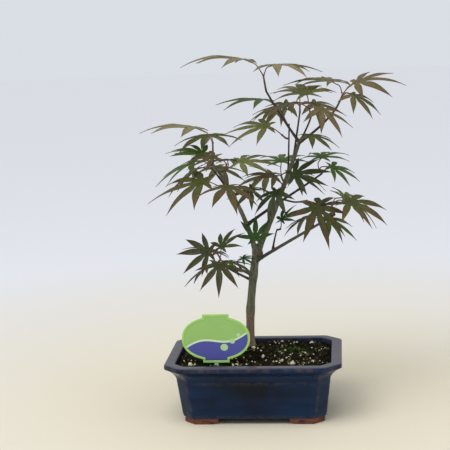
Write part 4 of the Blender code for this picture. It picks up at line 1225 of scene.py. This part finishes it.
leaf_finishes = [veined(name + "_leaf", heart, tip) for name, (heart, tip, _) in LEAF_COLOURS.items()]
stalk_finishes = [stalk_skin("red_stalk", (0.110, 0.034, 0.026), (0.200, 0.075, 0.045)),
                  stalk_skin("green_stalk", (0.075, 0.085, 0.030), (0.140, 0.090, 0.045))]
GROUPS = {
    "top": "top_left inner_left top_middle top_right top_fork red_shoot back_top",
    "left": "left_crown far_left left left_low left_front",
    "right": "centre centre_right right_front fork small_shoot right right_upper",
    "low": "lower_left trunk_left back_low back_right",
    "back": "back back_left",
}
twigs = []
numbers = {name: number for number, name in enumerate(MASSES)}
for group, members in GROUPS.items():
    names = ["foliage_" + name for name in members.split()]
    leaves, stalks, stalk_tone = [], [], []
    for name in members.split():
        limb, share, (span, heading, rise), rows = MASSES[name]
        way = way_of(heading, rise)
        start = place_along(limb, share)
        end = start + span * way
        sag = (start + end) / 2 - np.array([0, 0, TWIG_SAG * span])
        twig_path = smooth_path((start, sag, end), 0.7)
        gone = np.linspace(0, 1, len(twig_path))
        thick = TWIG_RADIUS[0] + (TWIG_RADIUS[1] - TWIG_RADIUS[0]) * gone
        thick = thick * (1 + 0.3 * np.exp(-((gone - 1) * span / 1.2) ** 2))
        twigs.append(tube(twig_path, thick, TWIG_SIDES))
        random = np.random.default_rng(SEED + numbers[name])
        for order, (length, heading, pitch, tilt, colour) in enumerate(rows):
            root = end - way * (STALK_ROOT + 0.7 * order)
            draw = random.integers(1 << 30)
            foot = end + STALK * length * way_of(heading, pitch + STALK_LIFT)
            facing = 1 if foot[1] < TURNS_BACK else -1
            axes = leaf_axes(heading, pitch, tilt * facing * math.cos(math.radians(heading)))
            leaves.append((*blade(foot, length, axes, np.random.default_rng(draw)), colour))
            line = stalk_path(root, way, foot, axes)
            swell = np.linspace(0, 1, len(line))
            radii = STALK_RADIUS * (1 + 0.7 * np.exp(-swell * 14) + 0.25 * np.exp(-(1 - swell) * 14))
            stalks.append(tube(line, radii, STALK_SIDES))
            tone = 0 if LEAF_COLOURS[colour][2] == "red" else 1
            stalk_tone += [tone] * sum(len(rows) for rows in stalks[-1][1])
    points, faces = joined([(leaf[0], [blade_quads, blade_thirds]) for leaf in leaves])
    shade = [list(LEAF_COLOURS).index(leaf[3]) for leaf in leaves]
    finish_of = np.repeat(shade, len(blade_quads) + len(blade_thirds))
    leaf_piece = mesh_piece(f"leaves_{group}", points, faces, leaf_finishes, finish_of,
                            np.vstack([leaf[1] for leaf in leaves]),
                            {"ends": np.concatenate([leaf[2] for leaf in leaves]),
                             "under": np.tile(under_side, len(leaves))})
    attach(leaf_piece, "root")
    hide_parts(*names)
    stalk_piece = mesh_piece(f"leaf_stalks_{group}", *joined(stalks), stalk_finishes, stalk_tone)
    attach(stalk_piece, "root")
    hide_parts(*names)

twig_finish = stalk_skin("twig_bark", (0.050, 0.024, 0.020), (0.105, 0.050, 0.036))
twig_piece = mesh_piece("twigs", *joined(twigs), [twig_finish])
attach(twig_piece, "root")
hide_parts(*("foliage_" + name for name in MASSES))


# The stage: a plain pale floor that runs out of sight, and soft studio light.
def pale_floor():
    """Matt white board with a faint warm cast near the pot, cooler further out."""
    made, add, join = shader("pale_floor", 0.8, Specular_IOR_Level=0.2)
    place = add("ShaderNodeTexCoord").outputs["Object"]
    far = add("ShaderNodeVectorMath", {0: place}, operation="LENGTH").outputs["Value"]
    join(mixed(add, ramp(add, far, 0.15, 0.75), (0.84, 0.78, 0.62), (0.87, 0.89, 0.94)), "Base Color")
    join(pitted(add, 400, 0.0001, 0.3), "Normal")
    return made


FLOOR_RADIUS = 9000.0
turn = 2 * math.pi * np.arange(64) / 64
floor_points = FLOOR_RADIUS * np.column_stack([np.cos(turn), np.sin(turn), np.zeros(64)])
floor = mesh_piece("floor", floor_points, [np.arange(64)[None]], [pale_floor()])
floor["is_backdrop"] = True

bpy.context.scene.view_settings.view_transform = "Standard"
world = bpy.data.worlds.new("studio")
bpy.context.scene.world = world
world.use_nodes = True
add = adder(world.node_tree)
sky = world.node_tree.nodes["Background"]
sky.inputs["Color"].default_value = (0.93, 0.94, 0.96, 1.0)
sky.inputs["Strength"].default_value = 0.50
backdrop = add("ShaderNodeBackground", {"Color": (0.70, 0.733, 0.785, 1.0), "Strength": 1.0})
seen = add("ShaderNodeLightPath").outputs["Is Camera Ray"]
both = add("ShaderNodeMixShader", {0: seen, 1: sky.outputs[0], 2: backdrop.outputs[0]})
add("ShaderNodeOutputWorld", {"Surface": both.outputs[0]}, is_active_output=True)
world.node_tree.nodes.remove(world.node_tree.nodes["World Output"])


def stood(thing, place, right, up, back):
    """A light or the camera stood at a place in pot millimetres, with its own X, Y and Z axes."""
    turned = Matrix(np.column_stack([right, up, back]).tolist()).to_4x4()
    turned.translation = (POT_AT + np.array(place, float) * MM).tolist()
    thing.matrix_world = turned
    bpy.context.scene.collection.objects.link(thing)


def softbox(name, place, aim, size, power, colour):
    """A square area light at a place, turned to face a point. Both are pot millimetres."""
    light = bpy.data.lights.new(name, "AREA")
    light.size = size * MM
    light.energy = power
    light.color = colour
    back = np.array(place, float) - aim
    back /= np.linalg.norm(back)
    right = np.cross((0, 0, 1), back)
    right /= np.linalg.norm(right)
    stood(bpy.data.objects.new(name, light), place, right, np.cross(back, right), back)


softbox("key_light", (-700, -900, 1300), (0, 0, 120), 900, 5.5, (1.0, 0.98, 0.95))
softbox("fill_light", (1000, -700, 700), (0, 0, 150), 900, 2.0, (0.97, 0.98, 1.0))
overhead = bpy.data.lights.new("overhead", "SUN")
overhead.energy = 1.25
overhead.angle = math.radians(50)
sun = bpy.data.objects.new("overhead", overhead)
sun.rotation_euler = (math.radians(24), math.radians(-14), 0)
bpy.context.scene.collection.objects.link(sun)

# The camera stands in front, at the height of the crown's top, and looks a little down.
CAMERA_AT = (82.15, -1060.6, 340.3)
CAMERA_YAW, CAMERA_PITCH, CAMERA_ROLL = -5.68, -9.05, math.radians(-2.06)
LENS = 97.4
forward, right = way_of(90 - CAMERA_YAW, CAMERA_PITCH), way_of(-CAMERA_YAW, 0)
up = np.cross(right, forward)
rolled = math.cos(CAMERA_ROLL) * right + math.sin(CAMERA_ROLL) * up
upright = math.cos(CAMERA_ROLL) * up - math.sin(CAMERA_ROLL) * right
camera = bpy.data.objects.new("camera", bpy.data.cameras.new("camera"))
camera.data.lens = LENS
camera.data.sensor_width = 36.0
camera.data.clip_end = 50.0
stood(camera, CAMERA_AT, rolled, upright, -forward)
bpy.context.scene.camera = camera

sizes = {"cad": [list(corner) for corner in cad_box], "visual": [list(corner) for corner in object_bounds()]}
